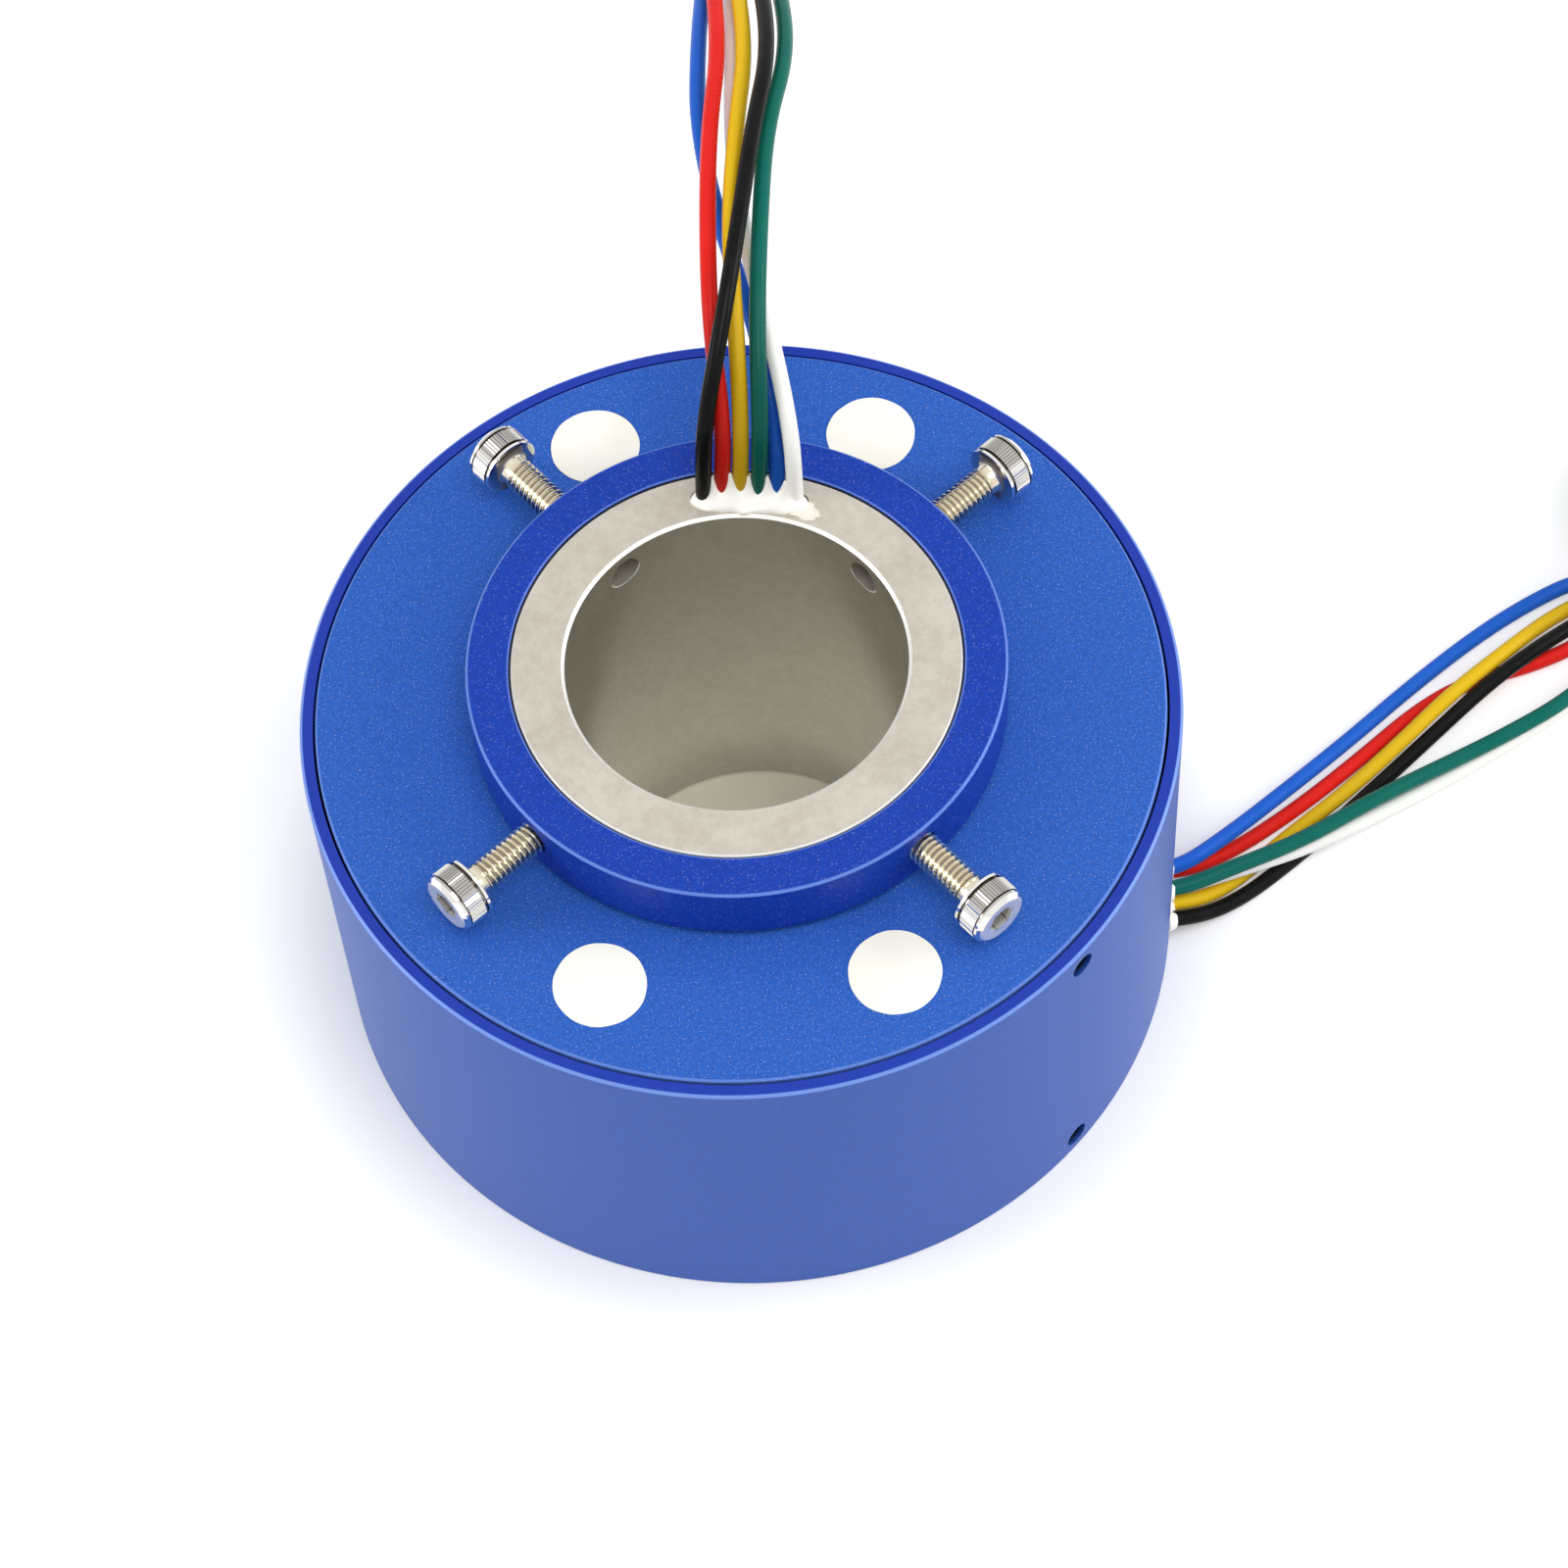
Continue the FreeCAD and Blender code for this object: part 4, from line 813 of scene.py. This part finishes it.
def end_plate(side, material):
    """A plate with its hub, bearing pocket, counterbores and set screw holes."""
    radius, low, high = span(f"{side}_end_plate")
    pocket, bearing_low, bearing_high = span(f"{side}_bearing_outer_ring")
    made = sizes()
    at_top = side == "top"
    inward = -1 if at_top else 1
    face, floor, hub_end = (high, bearing_high, bearing_low) if at_top else (low, bearing_low, bearing_high)
    hub_end += inward * made.hub_rise
    thickness = made.plate_thickness
    chamfer = made.chamfer
    pocket += BEARING_FIT
    relief = floor - inward * made.pocket_relief
    ledge = pocket - made.pocket_ledge
    hub = pocket + made.hub_wall
    form = turned([
        (made.eye_radius, face + inward * chamfer), (made.eye_radius + chamfer, face), (radius - chamfer, face),
        (radius, face + inward * chamfer), (radius, face + inward * thickness), (hub, face + inward * thickness),
        (hub, hub_end), (pocket, hub_end), (pocket, floor), (ledge, floor), (ledge, relief),
        (made.eye_radius, relief),
    ])
    holes = ((screws().counterbore_depth, screws().counterbore_radius),
             (thickness + PAST, screws().plate_screw_radius + SCREW_PLAY))
    bores = []
    for angle in post_angles():
        for depth, hole in holes:
            bores.append(drill(polar(angle, screws().post_radius, face - inward * PAST),
                               polar(angle, screws().post_radius, face + inward * depth), hole))
    _, _, shell_top = span("housing_shell")
    bores += grub_bores(shell_top - screws().grub_inset if at_top else screws().grub_inset)
    if not at_top:
        for end, top in ((radius + PAST, made.outlet_high), (made.outlet_shelf, face + thickness + PAST)):
            bores.append(box_cutter(made.outlet_angle, made.outlet_depth, end, made.outlet_low, top,
                                    made.outlet_width))
    piece(f"{side}_plate", cut(form, bores), material, "housing", [f"{side}_end_plate"])


def clamp_angles():
    return [screws().clamp_angle + index * math.tau / CLAMP_SCREWS for index in range(CLAMP_SCREWS)]


def clamp_bores(start, end):
    """Cutters for the clamp screws, between two radii."""
    low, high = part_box("clamp_screws")
    height = (low.z + high.z) / 2
    bore = screws().thread_radius + sizes().fit
    return [drill(polar(angle, start, height), polar(angle, end, height), bore, 96) for angle in clamp_angles()]


def rotor_sleeve():
    """The sleeve, with the snap ring's groove, the lead slot, the clamp holes and a wire hole for each ring."""
    radius, low, high = span("rotor_sleeve")
    _, ring_low, ring_high = span("snap_ring")
    made = sizes()
    outer = made.bore_chamfer / 2
    bore = made.bore_radius
    form = turned([
        (bore, low + made.bore_chamfer), (bore + made.bore_chamfer, low), (radius - outer, low),
        (radius, low + outer), (radius, ring_low), (radius - made.groove_depth, ring_low),
        (radius - made.groove_depth, ring_high), (radius, ring_high), (radius, high - outer),
        (radius - outer, high), (bore + made.bore_chamfer, high), (bore, high - made.bore_chamfer),
    ])
    _, slot_foot, _ = span("contact_ring_1")
    inner = made.slot_radius - made.slot_half_width
    rim = made.slot_radius + made.slot_half_width
    above = high + PAST
    slot = turned([(inner, slot_foot), (rim, slot_foot), (rim, above), (inner, above)], made.slot_span)
    bmesh.ops.rotate(slot, verts=slot.verts, cent=(0, 0, 0), matrix=Matrix.Rotation(made.slot_start, 3, "Z"))
    cutters = [slot]
    for angle in (made.slot_start, made.slot_start + made.slot_span):
        cutters.append(drill(polar(angle, made.slot_radius, slot_foot), polar(angle, made.slot_radius, above),
                             made.slot_half_width))
    cutters += clamp_bores(bore - PAST, radius + PAST)
    for index in range(len(LEAD_COLOURS)):
        ring_foot, ring_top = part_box(f"contact_ring_{index + 1}")
        height = (ring_foot.z + ring_top.z) / 2
        angle = made.first_lead + index * made.lead_step
        cutters.append(drill(polar(angle, made.slot_radius, height), polar(angle, radius + PAST, height),
                             made.wire_hole, 24))
    piece("sleeve", cut(form, cutters), sleeve_finish(), "rotor", ["rotor_sleeve"])


def locking_collar():
    radius, low, high = span("locking_collar")
    sleeve, _, _ = span("rotor_sleeve")
    made = sizes()
    bore = sleeve + made.fit
    chamfer = made.chamfer
    form = turned([
        (bore, low), (radius - chamfer, low), (radius, low + chamfer), (radius, high - chamfer),
        (radius - chamfer, high), (bore + chamfer, high), (bore, high - chamfer),
    ])
    cutters = clamp_bores(bore - PAST, radius + PAST)
    piece("collar", cut(form, cutters), collar_finish(), "rotor", ["locking_collar"])


def station(form, edges, height, radius_at):
    """Extrudes a loop of edges and puts the new loop at a height, with a radius for each angle."""
    grown = bmesh.ops.extrude_edge_only(form, edges=edges)["geom"]
    for point in grown:
        if isinstance(point, bmesh.types.BMVert):
            angle = math.atan2(point.co.y, point.co.x)
            radius = radius_at(angle)
            point.co = (radius * math.cos(angle), radius * math.sin(angle), height)
    return [edge for edge in grown if isinstance(edge, bmesh.types.BMEdge)]


def screw_head(form, radius):
    """Neck, flange, groove, knurled body, rim and hexagon socket, from the bearing face upwards."""
    made = screws()
    teeth = made.knurl_teeth
    per_tooth = 2

    def round_at(share):
        return lambda angle: radius * share

    def knurl_at(angle):
        step = round(angle / math.tau * teeth * per_tooth) % per_tooth
        return radius - (made.knurl_depth if step >= per_tooth // 2 else 0)

    def hexagon_at(angle):
        sixth = math.pi / 3
        return made.socket_width / 2 / math.cos((angle + sixth / 2) % sixth - sixth / 2)

    thread = (made.thread_radius - made.thread_depth / 2) / radius
    top = made.head_height
    floor = top - made.socket_depth
    stations = [
        (-0.0009, round_at(thread)), (-0.0003, round_at(thread + 0.04)), (0, round_at(thread + 0.14)),
        (0, round_at(0.94)), (0.00012, round_at(1)), (0.00046, round_at(1)), (0.00052, round_at(0.92)),
        (0.00078, round_at(0.92)), (0.00084, knurl_at), (0.0028, knurl_at), (0.00285, round_at(0.95)),
        (0.003, round_at(0.95)), (0.00305, round_at(1)), (0.00335, round_at(0.99)), (top - 0.0002, round_at(0.9)),
        (top, round_at(0.82)), (top, round_at(0.58)), (top - 0.0001, hexagon_at), (floor, hexagon_at),
    ]
    bmesh.ops.create_circle(form, segments=teeth * per_tooth, radius=radius * thread,
                            matrix=Matrix.Translation((0, 0, -0.0014)))
    edges = form.edges[:]
    bmesh.ops.edgeloop_fill(form, edges=edges)
    for height, radius_at in stations:
        edges = station(form, edges, height, radius_at)
    bmesh.ops.edgeloop_fill(form, edges=edges)


def screw_thread(form):
    """A helical ridge from under the head to the tip, with both ends closed and a broken edge at the tip."""
    made = screws()
    pitch = made.thread_pitch
    crest = made.thread_radius
    root = crest - made.thread_depth
    tip = -made.clamp_length
    top = -0.0012
    ridge = bmesh.new()
    outline = [(root, 0), (root, pitch * 0.12), (crest, pitch * 0.44), (crest, pitch * 0.6), (root, pitch * 0.92),
               (root, pitch)]
    points = [ridge.verts.new((radius, 0, height)) for radius, height in outline]
    edges = [ridge.edges.new(pair) for pair in zip(points, points[1:])]
    turns = math.ceil((top - tip) / pitch) + 2
    steps = 32
    bmesh.ops.spin(ridge, geom=points + edges, axis=UP, dvec=UP * (pitch / steps), angle=math.tau * turns,
                   steps=steps * turns)
    bmesh.ops.remove_doubles(ridge, verts=ridge.verts, dist=1e-6)
    bmesh.ops.translate(ridge, verts=ridge.verts, vec=UP * (tip - pitch))
    broken = 0.0003
    for height, above in ((top, True), (tip + broken, False)):
        bmesh.ops.bisect_plane(ridge, geom=ridge.verts[:] + ridge.edges[:] + ridge.faces[:], dist=1e-8,
                               plane_co=(0, 0, height), plane_no=UP, clear_outer=above, clear_inner=not above)
    low_edges = [edge for edge in ridge.edges if edge.is_boundary and edge.verts[0].co.z < (tip + top) / 2]
    grown = bmesh.ops.extrude_edge_only(ridge, edges=low_edges)["geom"]
    for point in grown:
        if isinstance(point, bmesh.types.BMVert):
            point.co = (point.co.x * 0.82, point.co.y * 0.82, tip)
    bmesh.ops.holes_fill(ridge, edges=[edge for edge in ridge.edges if edge.is_boundary])
    bmesh.ops.recalc_face_normals(ridge, faces=ridge.faces)
    mesh = mesh_from(ridge, "ridge")
    form.from_mesh(mesh)
    bpy.data.meshes.remove(mesh)


def clamp_seat():
    """Radius at which the clamp heads start, from the reach of the screws and the size of a head."""
    low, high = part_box("clamp_screws")
    reach = max(high.x, -low.x, high.y, -low.y)
    across, turn = max((abs(math.cos(angle)), angle) for angle in clamp_angles())
    return (reach - (high.z - low.z) / 2 * abs(math.sin(turn))) / across - screws().head_height


def clamp_screws():
    """Four socket screws that stand radially in the collar."""
    low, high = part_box("clamp_screws")
    height = (low.z + high.z) / 2
    head_radius = (high.z - low.z) / 2
    one = bmesh.new()
    screw_head(one, head_radius)
    screw_thread(one)
    bmesh.ops.recalc_face_normals(one, faces=one.faces)
    shape = mesh_from(one, "screw")
    seat = clamp_seat()
    rolls = (0.2, 0.75, 0.45, 0.1)
    whole = bmesh.new()
    for angle, roll in zip(clamp_angles(), rolls):
        copy = shape.copy()
        lie = Matrix.Rotation(angle, 4, "Z") @ Matrix.Rotation(math.pi / 2, 4, "Y") @ Matrix.Rotation(roll, 4, "Z")
        copy.transform(Matrix.Translation(polar(angle, seat, height)) @ lie)
        whole.from_mesh(copy)
        bpy.data.meshes.remove(copy)
    bpy.data.meshes.remove(shape)
    piece("clamp_screw_set", whole, clamp_screw_finish(), "rotor", ["clamp_screws"], sharp=32)


def cover_stickers():
    """Thin discs over the plate screws, cut by hand and so not quite round."""
    _, low, high = span("cover_stickers")
    radius = screws().sticker_radius
    whole = bmesh.new()
    for index, angle in enumerate(post_angles()):
        centre = polar(angle, screws().post_radius)
        made = bmesh.ops.create_circle(whole, cap_ends=True, segments=120, radius=radius)
        faces = list({face for point in made["verts"] for face in point.link_faces})
        for point in made["verts"]:
            way = math.atan2(point.co.y, point.co.x)
            swell = sum(share * math.sin(waves * way + shift * index) for waves, share, shift in CUT_WAVES) - 0.006
            point.co = centre + point.co * (1 + swell) + UP * low
        grown = bmesh.ops.extrude_face_region(whole, geom=faces)["geom"]
        lid = [item for item in grown if isinstance(item, bmesh.types.BMVert)]
        bmesh.ops.translate(whole, verts=lid, vec=UP * (high - low))
    bmesh.ops.recalc_face_normals(whole, faces=whole.faces)
    piece("cover_discs", whole, film_finish("sticker", finishes().sticker), "housing",
          ["cover_stickers"])


def poured(columns, rows, place_at, rise_at, foot, rounded=True):
    """A closed body of sealant over a grid, rounded in plan or square, that rises as given."""
    form = bmesh.new()
    bmesh.ops.create_grid(form, x_segments=columns, y_segments=rows, size=1)
    base = form.verts[:]
    grown = bmesh.ops.extrude_face_region(form, geom=form.faces[:])["geom"]
    lid = [item for item in grown if isinstance(item, bmesh.types.BMVert)]
    for points, top in ((base, False), (lid, True)):
        for point in points:
            u, v = point.co.x, point.co.y
            if rounded:
                u, v = u * math.sqrt(1 - v * v / 2), v * math.sqrt(1 - u * u / 2)
            point.co = place_at(u, v, rise_at(u, v) if top else foot)
    bmesh.ops.recalc_face_normals(form, faces=form.faces)
    return form


def cling(point, stems, radius, reach):
    """How far sealant climbs at a point: fully at a stem, and less with distance from it."""
    best = 0.0
    for stem, height in stems:
        gap = max(0.0, (point - stem).length - radius)
        best = max(best, height * math.exp(-gap / reach))
    return best


def rotor_sealant():
    """White sealant heaped over the lead slot and drawn up between the leads."""
    _, _, end_face = span("rotor_sleeve")
    made = sizes()
    middle = made.slot_start + made.slot_span / 2
    overrun = 0.055
    half_angle = made.slot_span / 2 + overrun
    half_width = 0.0023
    centre_radius = made.slot_radius - 0.0003
    climbs = (0.0034, 0.0031, 0.0024, 0.003, 0.0026)
    roots = [Vector(ROTOR_ROUTES[colour][1][:2]) * MM for colour in LEAD_COLOURS]
    stems = [(left.lerp(right, 0.5), climb) for left, right, climb in zip(roots, roots[1:], climbs)]
    stems += [(root, 0.0006) for root in roots]

    def place_at(u, v, rise):
        wobble = 1 + 0.05 * math.sin(9 * u + 1) + 0.04 * math.sin(17 * u)
        return polar(middle + u * half_angle, centre_radius + v * half_width * wobble, end_face + rise)

    def rise_at(u, v):
        away = min(1.0, u * u + v * v)
        crown = 0.0011 * math.sqrt(1 - away) * (1 + 0.25 * math.sin(7 * u + 2 * v))
        spot = place_at(u, v, 0).to_2d()
        return crown + cling(spot, stems, 0.0002, 0.0005) * (1 - away ** 3)

    form = poured(150, 40, place_at, rise_at, -0.0008)

    def smear_place(u, v, rise):
        ragged = 1 + 0.12 * math.sin(5 * u + 3 * v) + 0.06 * math.sin(11 * v + 2)
        return polar(made.slot_start - 0.045 + u * 0.08 * ragged, made.slot_radius - 0.001 + v * 0.0012 * ragged,
                     end_face + rise)

    def smear_rise(u, v):
        return 0.00001 + 0.0001 * (1 - min(1.0, u * u + v * v)) * (1 + 0.4 * math.sin(9 * u + 4 * v))

    smear = mesh_from(poured(60, 36, smear_place, smear_rise, -0.00005), "smear")
    form.from_mesh(smear)
    bpy.data.meshes.remove(smear)
    material = sealant_finish()
    piece("rotor_sealant", form, material, "rotor", ["rotor_lead_sealant"], sharp=60)
    return material


def stator_sealant(material):
    """Sealant in the side outlet, drawn out a little along the leads."""
    radius, _, _ = span("housing_shell")
    made = sizes()
    middle = (made.outlet_low + made.outlet_high) / 2
    half_width = made.outlet_width / 2 - made.fit
    half_height = (made.outlet_high - made.outlet_low) / 2 - made.fit
    turn = Matrix.Rotation(-made.outlet_angle, 4, "Z")
    stems = []
    for colour in LEAD_COLOURS:
        inner, outer = (turn @ (Vector(point) * MM) for point in STATOR_ROUTES[colour][:2])
        share = (radius - inner.x) / (outer.x - inner.x)
        spot = inner.lerp(outer, share)
        stems.append((Vector((spot.y, spot.z)), 0.0009))

    def place_at(u, v, rise):
        across = u * half_width
        return polar(made.outlet_angle, radius + rise, middle + v * half_height, across)

    def rise_at(u, v):
        hollow = -0.0004 - 0.0004 * math.sin(3 * u + 1) * math.cos(2 * v)
        spot = Vector((u * half_width, middle + v * half_height))
        return hollow + cling(spot, stems, leads().diameter / 2, 0.0003)

    form = poured(90, 48, place_at, rise_at, -0.0045, rounded=False)
    piece("stator_sealant", form, material, "housing", ["stator_lead_sealant"], sharp=60)


def ease(share):
    share = min(1.0, max(0.0, share))
    return share * share * (3 - 2 * share)


def lay(curve, points):
    """Gives a curve one open spline through control points in metres."""
    while curve.splines:
        curve.splines.remove(curve.splines[0])
    spline = curve.splines.new("NURBS")
    spline.points.add(len(points) - 1)
    for point, place in zip(spline.points, points):
        point.co = (*place, 1)
    spline.order_u = 3
    spline.use_endpoint_u = True
    spline.resolution_u = 10
    return spline


def lead(side, colour, route, body, coil_node, start_angle, way, material):
    """One lead of its full length: along its route, then round its coil."""
    made = leads()
    name = f"{side}_lead_{colour}"
    curve = bpy.data.curves.new(name, "CURVE")
    curve.dimensions = "3D"
    points = [Vector(point) * MM for point in route]
    low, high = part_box(coil_node)
    centre = (low + high) / 2
    outward = polar(start_angle, 1)
    radius = (points[-1] - centre).dot(outward)
    first_height = points[-1].z
    per_turn = made.points_per_turn
    # A curve of this order runs inside its control points, so they lie a little outside the coil.
    control = radius / (0.75 + 0.25 * math.cos(math.tau / per_turn))

    def on_coil(turn):
        whole = math.floor(turn)
        climb = ease((turn - whole - made.climb_start) / (made.climb_end - made.climb_start))
        flat = Vector((centre.x, centre.y, first_height + made.coil_pitch * (whole + climb)))
        return flat + polar(start_angle + way * math.tau * turn, control)

    run = lay(curve, points + [on_coil(0)]).calc_length()
    turns = (made.length - run) / (math.tau * radius)
    count = math.floor(turns * per_turn)
    coil = [on_coil(step / per_turn) for step in range(count + 1)] + [on_coil(turns)]
    lay(curve, points + coil)
    curve.bevel_depth = made.diameter / 2
    curve.bevel_resolution = 5
    curve.use_fill_caps = True
    curve.materials.append(material)
    item = bpy.data.objects.new(name + "_cord", curve)
    bpy.context.scene.collection.objects.link(item)
    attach(item, body)
    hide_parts(name)
    return item


def all_leads():
    for colour in LEAD_COLOURS:
        shade = 0.0 if colour == "white" else 0.45
        insulation = rubber_finish(f"lead_{colour}", getattr(finishes(), colour), 0.28, shine=0.09, shade=shade)
        turning = lead("rotor", colour, ROTOR_ROUTES[colour], "rotor", "rotor_lead_coil", math.pi, -1, insulation)
        fixed = lead("stator", colour, STATOR_ROUTES[colour], "housing", "stator_lead_coil", -math.pi / 2, 1,
                     insulation)
        if colour == LEAD_COLOURS[0]:
            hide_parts("rotor_lead_coil")
            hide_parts("stator_lead_coil")


def inner_finishes():
    """Materials of the pieces that stay as they were built."""
    colours = finishes()
    steel = bright_finish("bearing_steel", paint("c8c8c6"), 0.2)
    cage = rubber_finish("bearing_cage", paint("b99a5a"), 0.5)
    spring = bright_finish("spring_steel", paint("a9a9a8"), 0.3)
    spacer = bright_finish("spacer_metal", paint("b9b8b4"), 0.35)
    black_steel = bright_finish("black_screw", paint("2c2c2e"), 0.42)
    barrel = rubber_finish("barrel_insulation", paint("20242c"), 0.45)
    brass = bright_finish("ring_brass", colours.brass, 0.22)
    tinned = bright_finish("tinned_copper", paint("c7c2b8"), 0.3)
    gold_wire = bright_finish("spring_wire", paint("d0ac5c"), 0.25)
    board = rubber_finish("circuit_board", paint("1c5a38"), 0.4)
    holder = rubber_finish("holder_insulation", paint("e4e0d4"), 0.5)
    chosen = {"snap_ring": spring, "bearing_spacer": spacer, "insulating_barrel": barrel,
              "rotor_wire_tails": tinned, "top_plate_screws": black_steel, "bottom_plate_screws": black_steel,
              "plate_set_screws": black_steel}
    for side in ("top", "bottom"):
        for part in ("outer_ring", "inner_ring", "balls"):
            chosen[f"{side}_bearing_{part}"] = steel
        chosen[f"{side}_bearing_cage"] = cage
    for side in ("rear", "front"):
        chosen[f"{side}_brush_holder"] = holder
        chosen[f"{side}_brush_board"] = board
        chosen[f"{side}_brush_wires"] = gold_wire
    for index in range(len(LEAD_COLOURS)):
        chosen[f"contact_ring_{index + 1}"] = brass
    for node, material in chosen.items():
        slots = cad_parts[node].data.materials
        slots.clear()
        slots.append(material)


def floor_finish():
    """Pale floor that the camera and the metal see as white, with the object's shadow on it, partly painted."""
    made = Finish("floor")
    path = made.node("ShaderNodeLightPath", output="Is Camera Ray")
    bore = sizes().bore_radius
    shell, _, _ = span("housing_shell")
    distance = made.radius()
    # Painted shade and painted warm reflection: the floor seen through the bore is beige and barely glows.
    open_floor = distance.smooth(bore + 0.003, bore + 0.006)
    # Painted shadow: the glow that the camera sees is weaker close round the shell and grows far off.
    level = distance.smooth(shell, shell + 0.0125) * 0.17 + distance.smooth(0.2, 0.9) * 0.25 + 0.13
    mirrored = path.sibling("Is Glossy Ray").larger(path.sibling("Is Transmission Ray"))
    seen = (path * (open_floor * level + 0.05)).larger(mirrored * 0.36)
    return made.done(Base_Color=made.tint(open_floor, paint("e6dfcc"), paint("e9e9e9")), Roughness=0.9,
                     Specular_IOR_Level=0.0, Emission_Color=WHITE, Emission_Strength=seen)


def lamp(name, place, size, power):
    light = bpy.data.lights.new(name, "AREA")
    light.shape = "DISK"
    light.size = size
    light.energy = power
    item = bpy.data.objects.new(name, light)
    item.location = place
    item.rotation_euler = (Vector(LAMP_AIM) - Vector(place)).to_track_quat("-Z", "Y").to_euler()
    bpy.context.scene.collection.objects.link(item)


def white_world(ambient):
    """White where it is seen or reflected, and softer as a light."""
    made = Nodes(bpy.data.worlds.new("studio"))
    path = made.node("ShaderNodeLightPath", output="Is Camera Ray")
    seen = path.larger(path.sibling("Is Glossy Ray")).larger(path.sibling("Is Transmission Ray"))
    level = made.node("ShaderNodeMapRange", None, {"Value": seen, "To Min": ambient})
    background = made.node("ShaderNodeBackground", None, {"Color": WHITE, "Strength": level})
    made.node("ShaderNodeOutputWorld", None, {"Surface": background})
    bpy.context.scene.world = made.owner


def camera():
    """The camera that took the view, rolled a little round its line of sight."""
    made = bpy.context.scene.slip_ring_studio
    place = Vector(made.place)
    ahead = (Vector(made.aim) - place).normalized()
    right = ahead.cross(UP).normalized()
    above = right.cross(ahead)
    rolled_right = right * math.cos(made.roll) + above * math.sin(made.roll)
    rolled_up = above * math.cos(made.roll) - right * math.sin(made.roll)
    data = bpy.data.cameras.new("camera")
    data.sensor_width = 36
    data.lens = made.lens
    data.clip_start = 0.01
    item = bpy.data.objects.new("camera", data)
    item.matrix_world = Matrix.Translation(place) @ Matrix((rolled_right, rolled_up, -ahead)).transposed().to_4x4()
    bpy.context.scene.collection.objects.link(item)
    bpy.context.scene.camera = item


def studio():
    made = bpy.context.scene.slip_ring_studio
    form = bmesh.new()
    bmesh.ops.create_grid(form, x_segments=1, y_segments=1, size=4)
    floor = bpy.data.objects.new("floor", mesh_from(form, "floor"))
    floor.data.materials.append(floor_finish())
    bpy.context.scene.collection.objects.link(floor)
    lamp("overhead", (0.15, -0.3, 0.92), 0.6, made.overhead)
    lamp("right", (0.8, 0.05, 0.42), 0.5, made.right)
    lamp("left", (-0.8, -0.05, 0.42), 0.5, made.left)
    white_world(made.ambient)
    bpy.context.scene.view_settings.view_transform = "Standard"
    camera()


class SLIPRING_OT_leads(bpy.types.Operator):
    """Lay the twelve leads and their coils"""
    bl_idname = "slipring.leads"
    bl_label = "Leads"

    def execute(self, context):
        all_leads()
        return {"FINISHED"}


class SLIPRING_OT_housing(bpy.types.Operator):
    """Turn the shell and its two end plates"""
    bl_idname = "slipring.housing"
    bl_label = "Housing"

    def execute(self, context):
        housing_shell()
        blasted = plate_finish()
        for side in ("top", "bottom"):
            end_plate(side, blasted)
        return {"FINISHED"}


class SLIPRING_OT_rotor(bpy.types.Operator):
    """Turn the sleeve and its collar"""
    bl_idname = "slipring.rotor"
    bl_label = "Sleeve and collar"

    def execute(self, context):
        rotor_sleeve()
        locking_collar()
        return {"FINISHED"}


class SLIPRING_OT_clamp_screws(bpy.types.Operator):
    """Make the four clamp screws"""
    bl_idname = "slipring.clamp_screws"
    bl_label = "Clamp screws"

    def execute(self, context):
        clamp_screws()
        return {"FINISHED"}


class SLIPRING_OT_stickers(bpy.types.Operator):
    """Cut the discs that cover the plate screws"""
    bl_idname = "slipring.stickers"
    bl_label = "Cover discs"

    def execute(self, context):
        cover_stickers()
        return {"FINISHED"}


class SLIPRING_OT_sealant(bpy.types.Operator):
    """Pour the sealant round both sets of leads"""
    bl_idname = "slipring.sealant"
    bl_label = "Sealant"

    def execute(self, context):
        stator_sealant(rotor_sealant())
        return {"FINISHED"}


class SLIPRING_OT_inner_parts(bpy.types.Operator):
    """Give bearings, rings, brushes and small screws their finishes"""
    bl_idname = "slipring.inner_parts"
    bl_label = "Inner parts"

    def execute(self, context):
        inner_finishes()
        return {"FINISHED"}


class SLIPRING_OT_studio(bpy.types.Operator):
    """Set up floor, lamps and camera"""
    bl_idname = "slipring.studio"
    bl_label = "Studio"

    def execute(self, context):
        studio()
        return {"FINISHED"}


OPERATORS = (
    SLIPRING_OT_leads,
    SLIPRING_OT_housing,
    SLIPRING_OT_rotor,
    SLIPRING_OT_clamp_screws,
    SLIPRING_OT_stickers,
    SLIPRING_OT_sealant,
    SLIPRING_OT_inner_parts,
    SLIPRING_OT_studio,
)


class SLIPRING_PT_panel(bpy.types.Panel):
    """Lists the steps in the order in which they are run"""
    bl_label = "Slip Ring"
    bl_idname = "SLIPRING_PT_panel"
    bl_space_type = "VIEW_3D"
    bl_region_type = "UI"
    bl_category = "Slip Ring"

    def draw(self, context):
        for operator in OPERATORS:
            self.layout.operator(operator.bl_idname)


GROUPS = {
    "turned_sizes": TurnedSizes,
    "screw_sizes": ScrewSizes,
    "lead_sizes": LeadSizes,
    "slip_ring_finishes": Finishes,
    "slip_ring_studio": Studio,
}


def register():
    for group in GROUPS.values():
        bpy.utils.register_class(group)
    for name, group in GROUPS.items():
        setattr(bpy.types.Scene, name, bpy.props.PointerProperty(type=group))
    for item in (*OPERATORS, SLIPRING_PT_panel):
        bpy.utils.register_class(item)


def unregister():
    for item in reversed((*OPERATORS, SLIPRING_PT_panel)):
        bpy.utils.unregister_class(item)
    for name in GROUPS:
        delattr(bpy.types.Scene, name)
    for group in reversed(GROUPS.values()):
        bpy.utils.unregister_class(group)


def main():
    register()
    for operator in OPERATORS:
        family, step = operator.bl_idname.split(".")
        getattr(getattr(bpy.ops, family), step)()


if __name__ == "__main__":
    main()
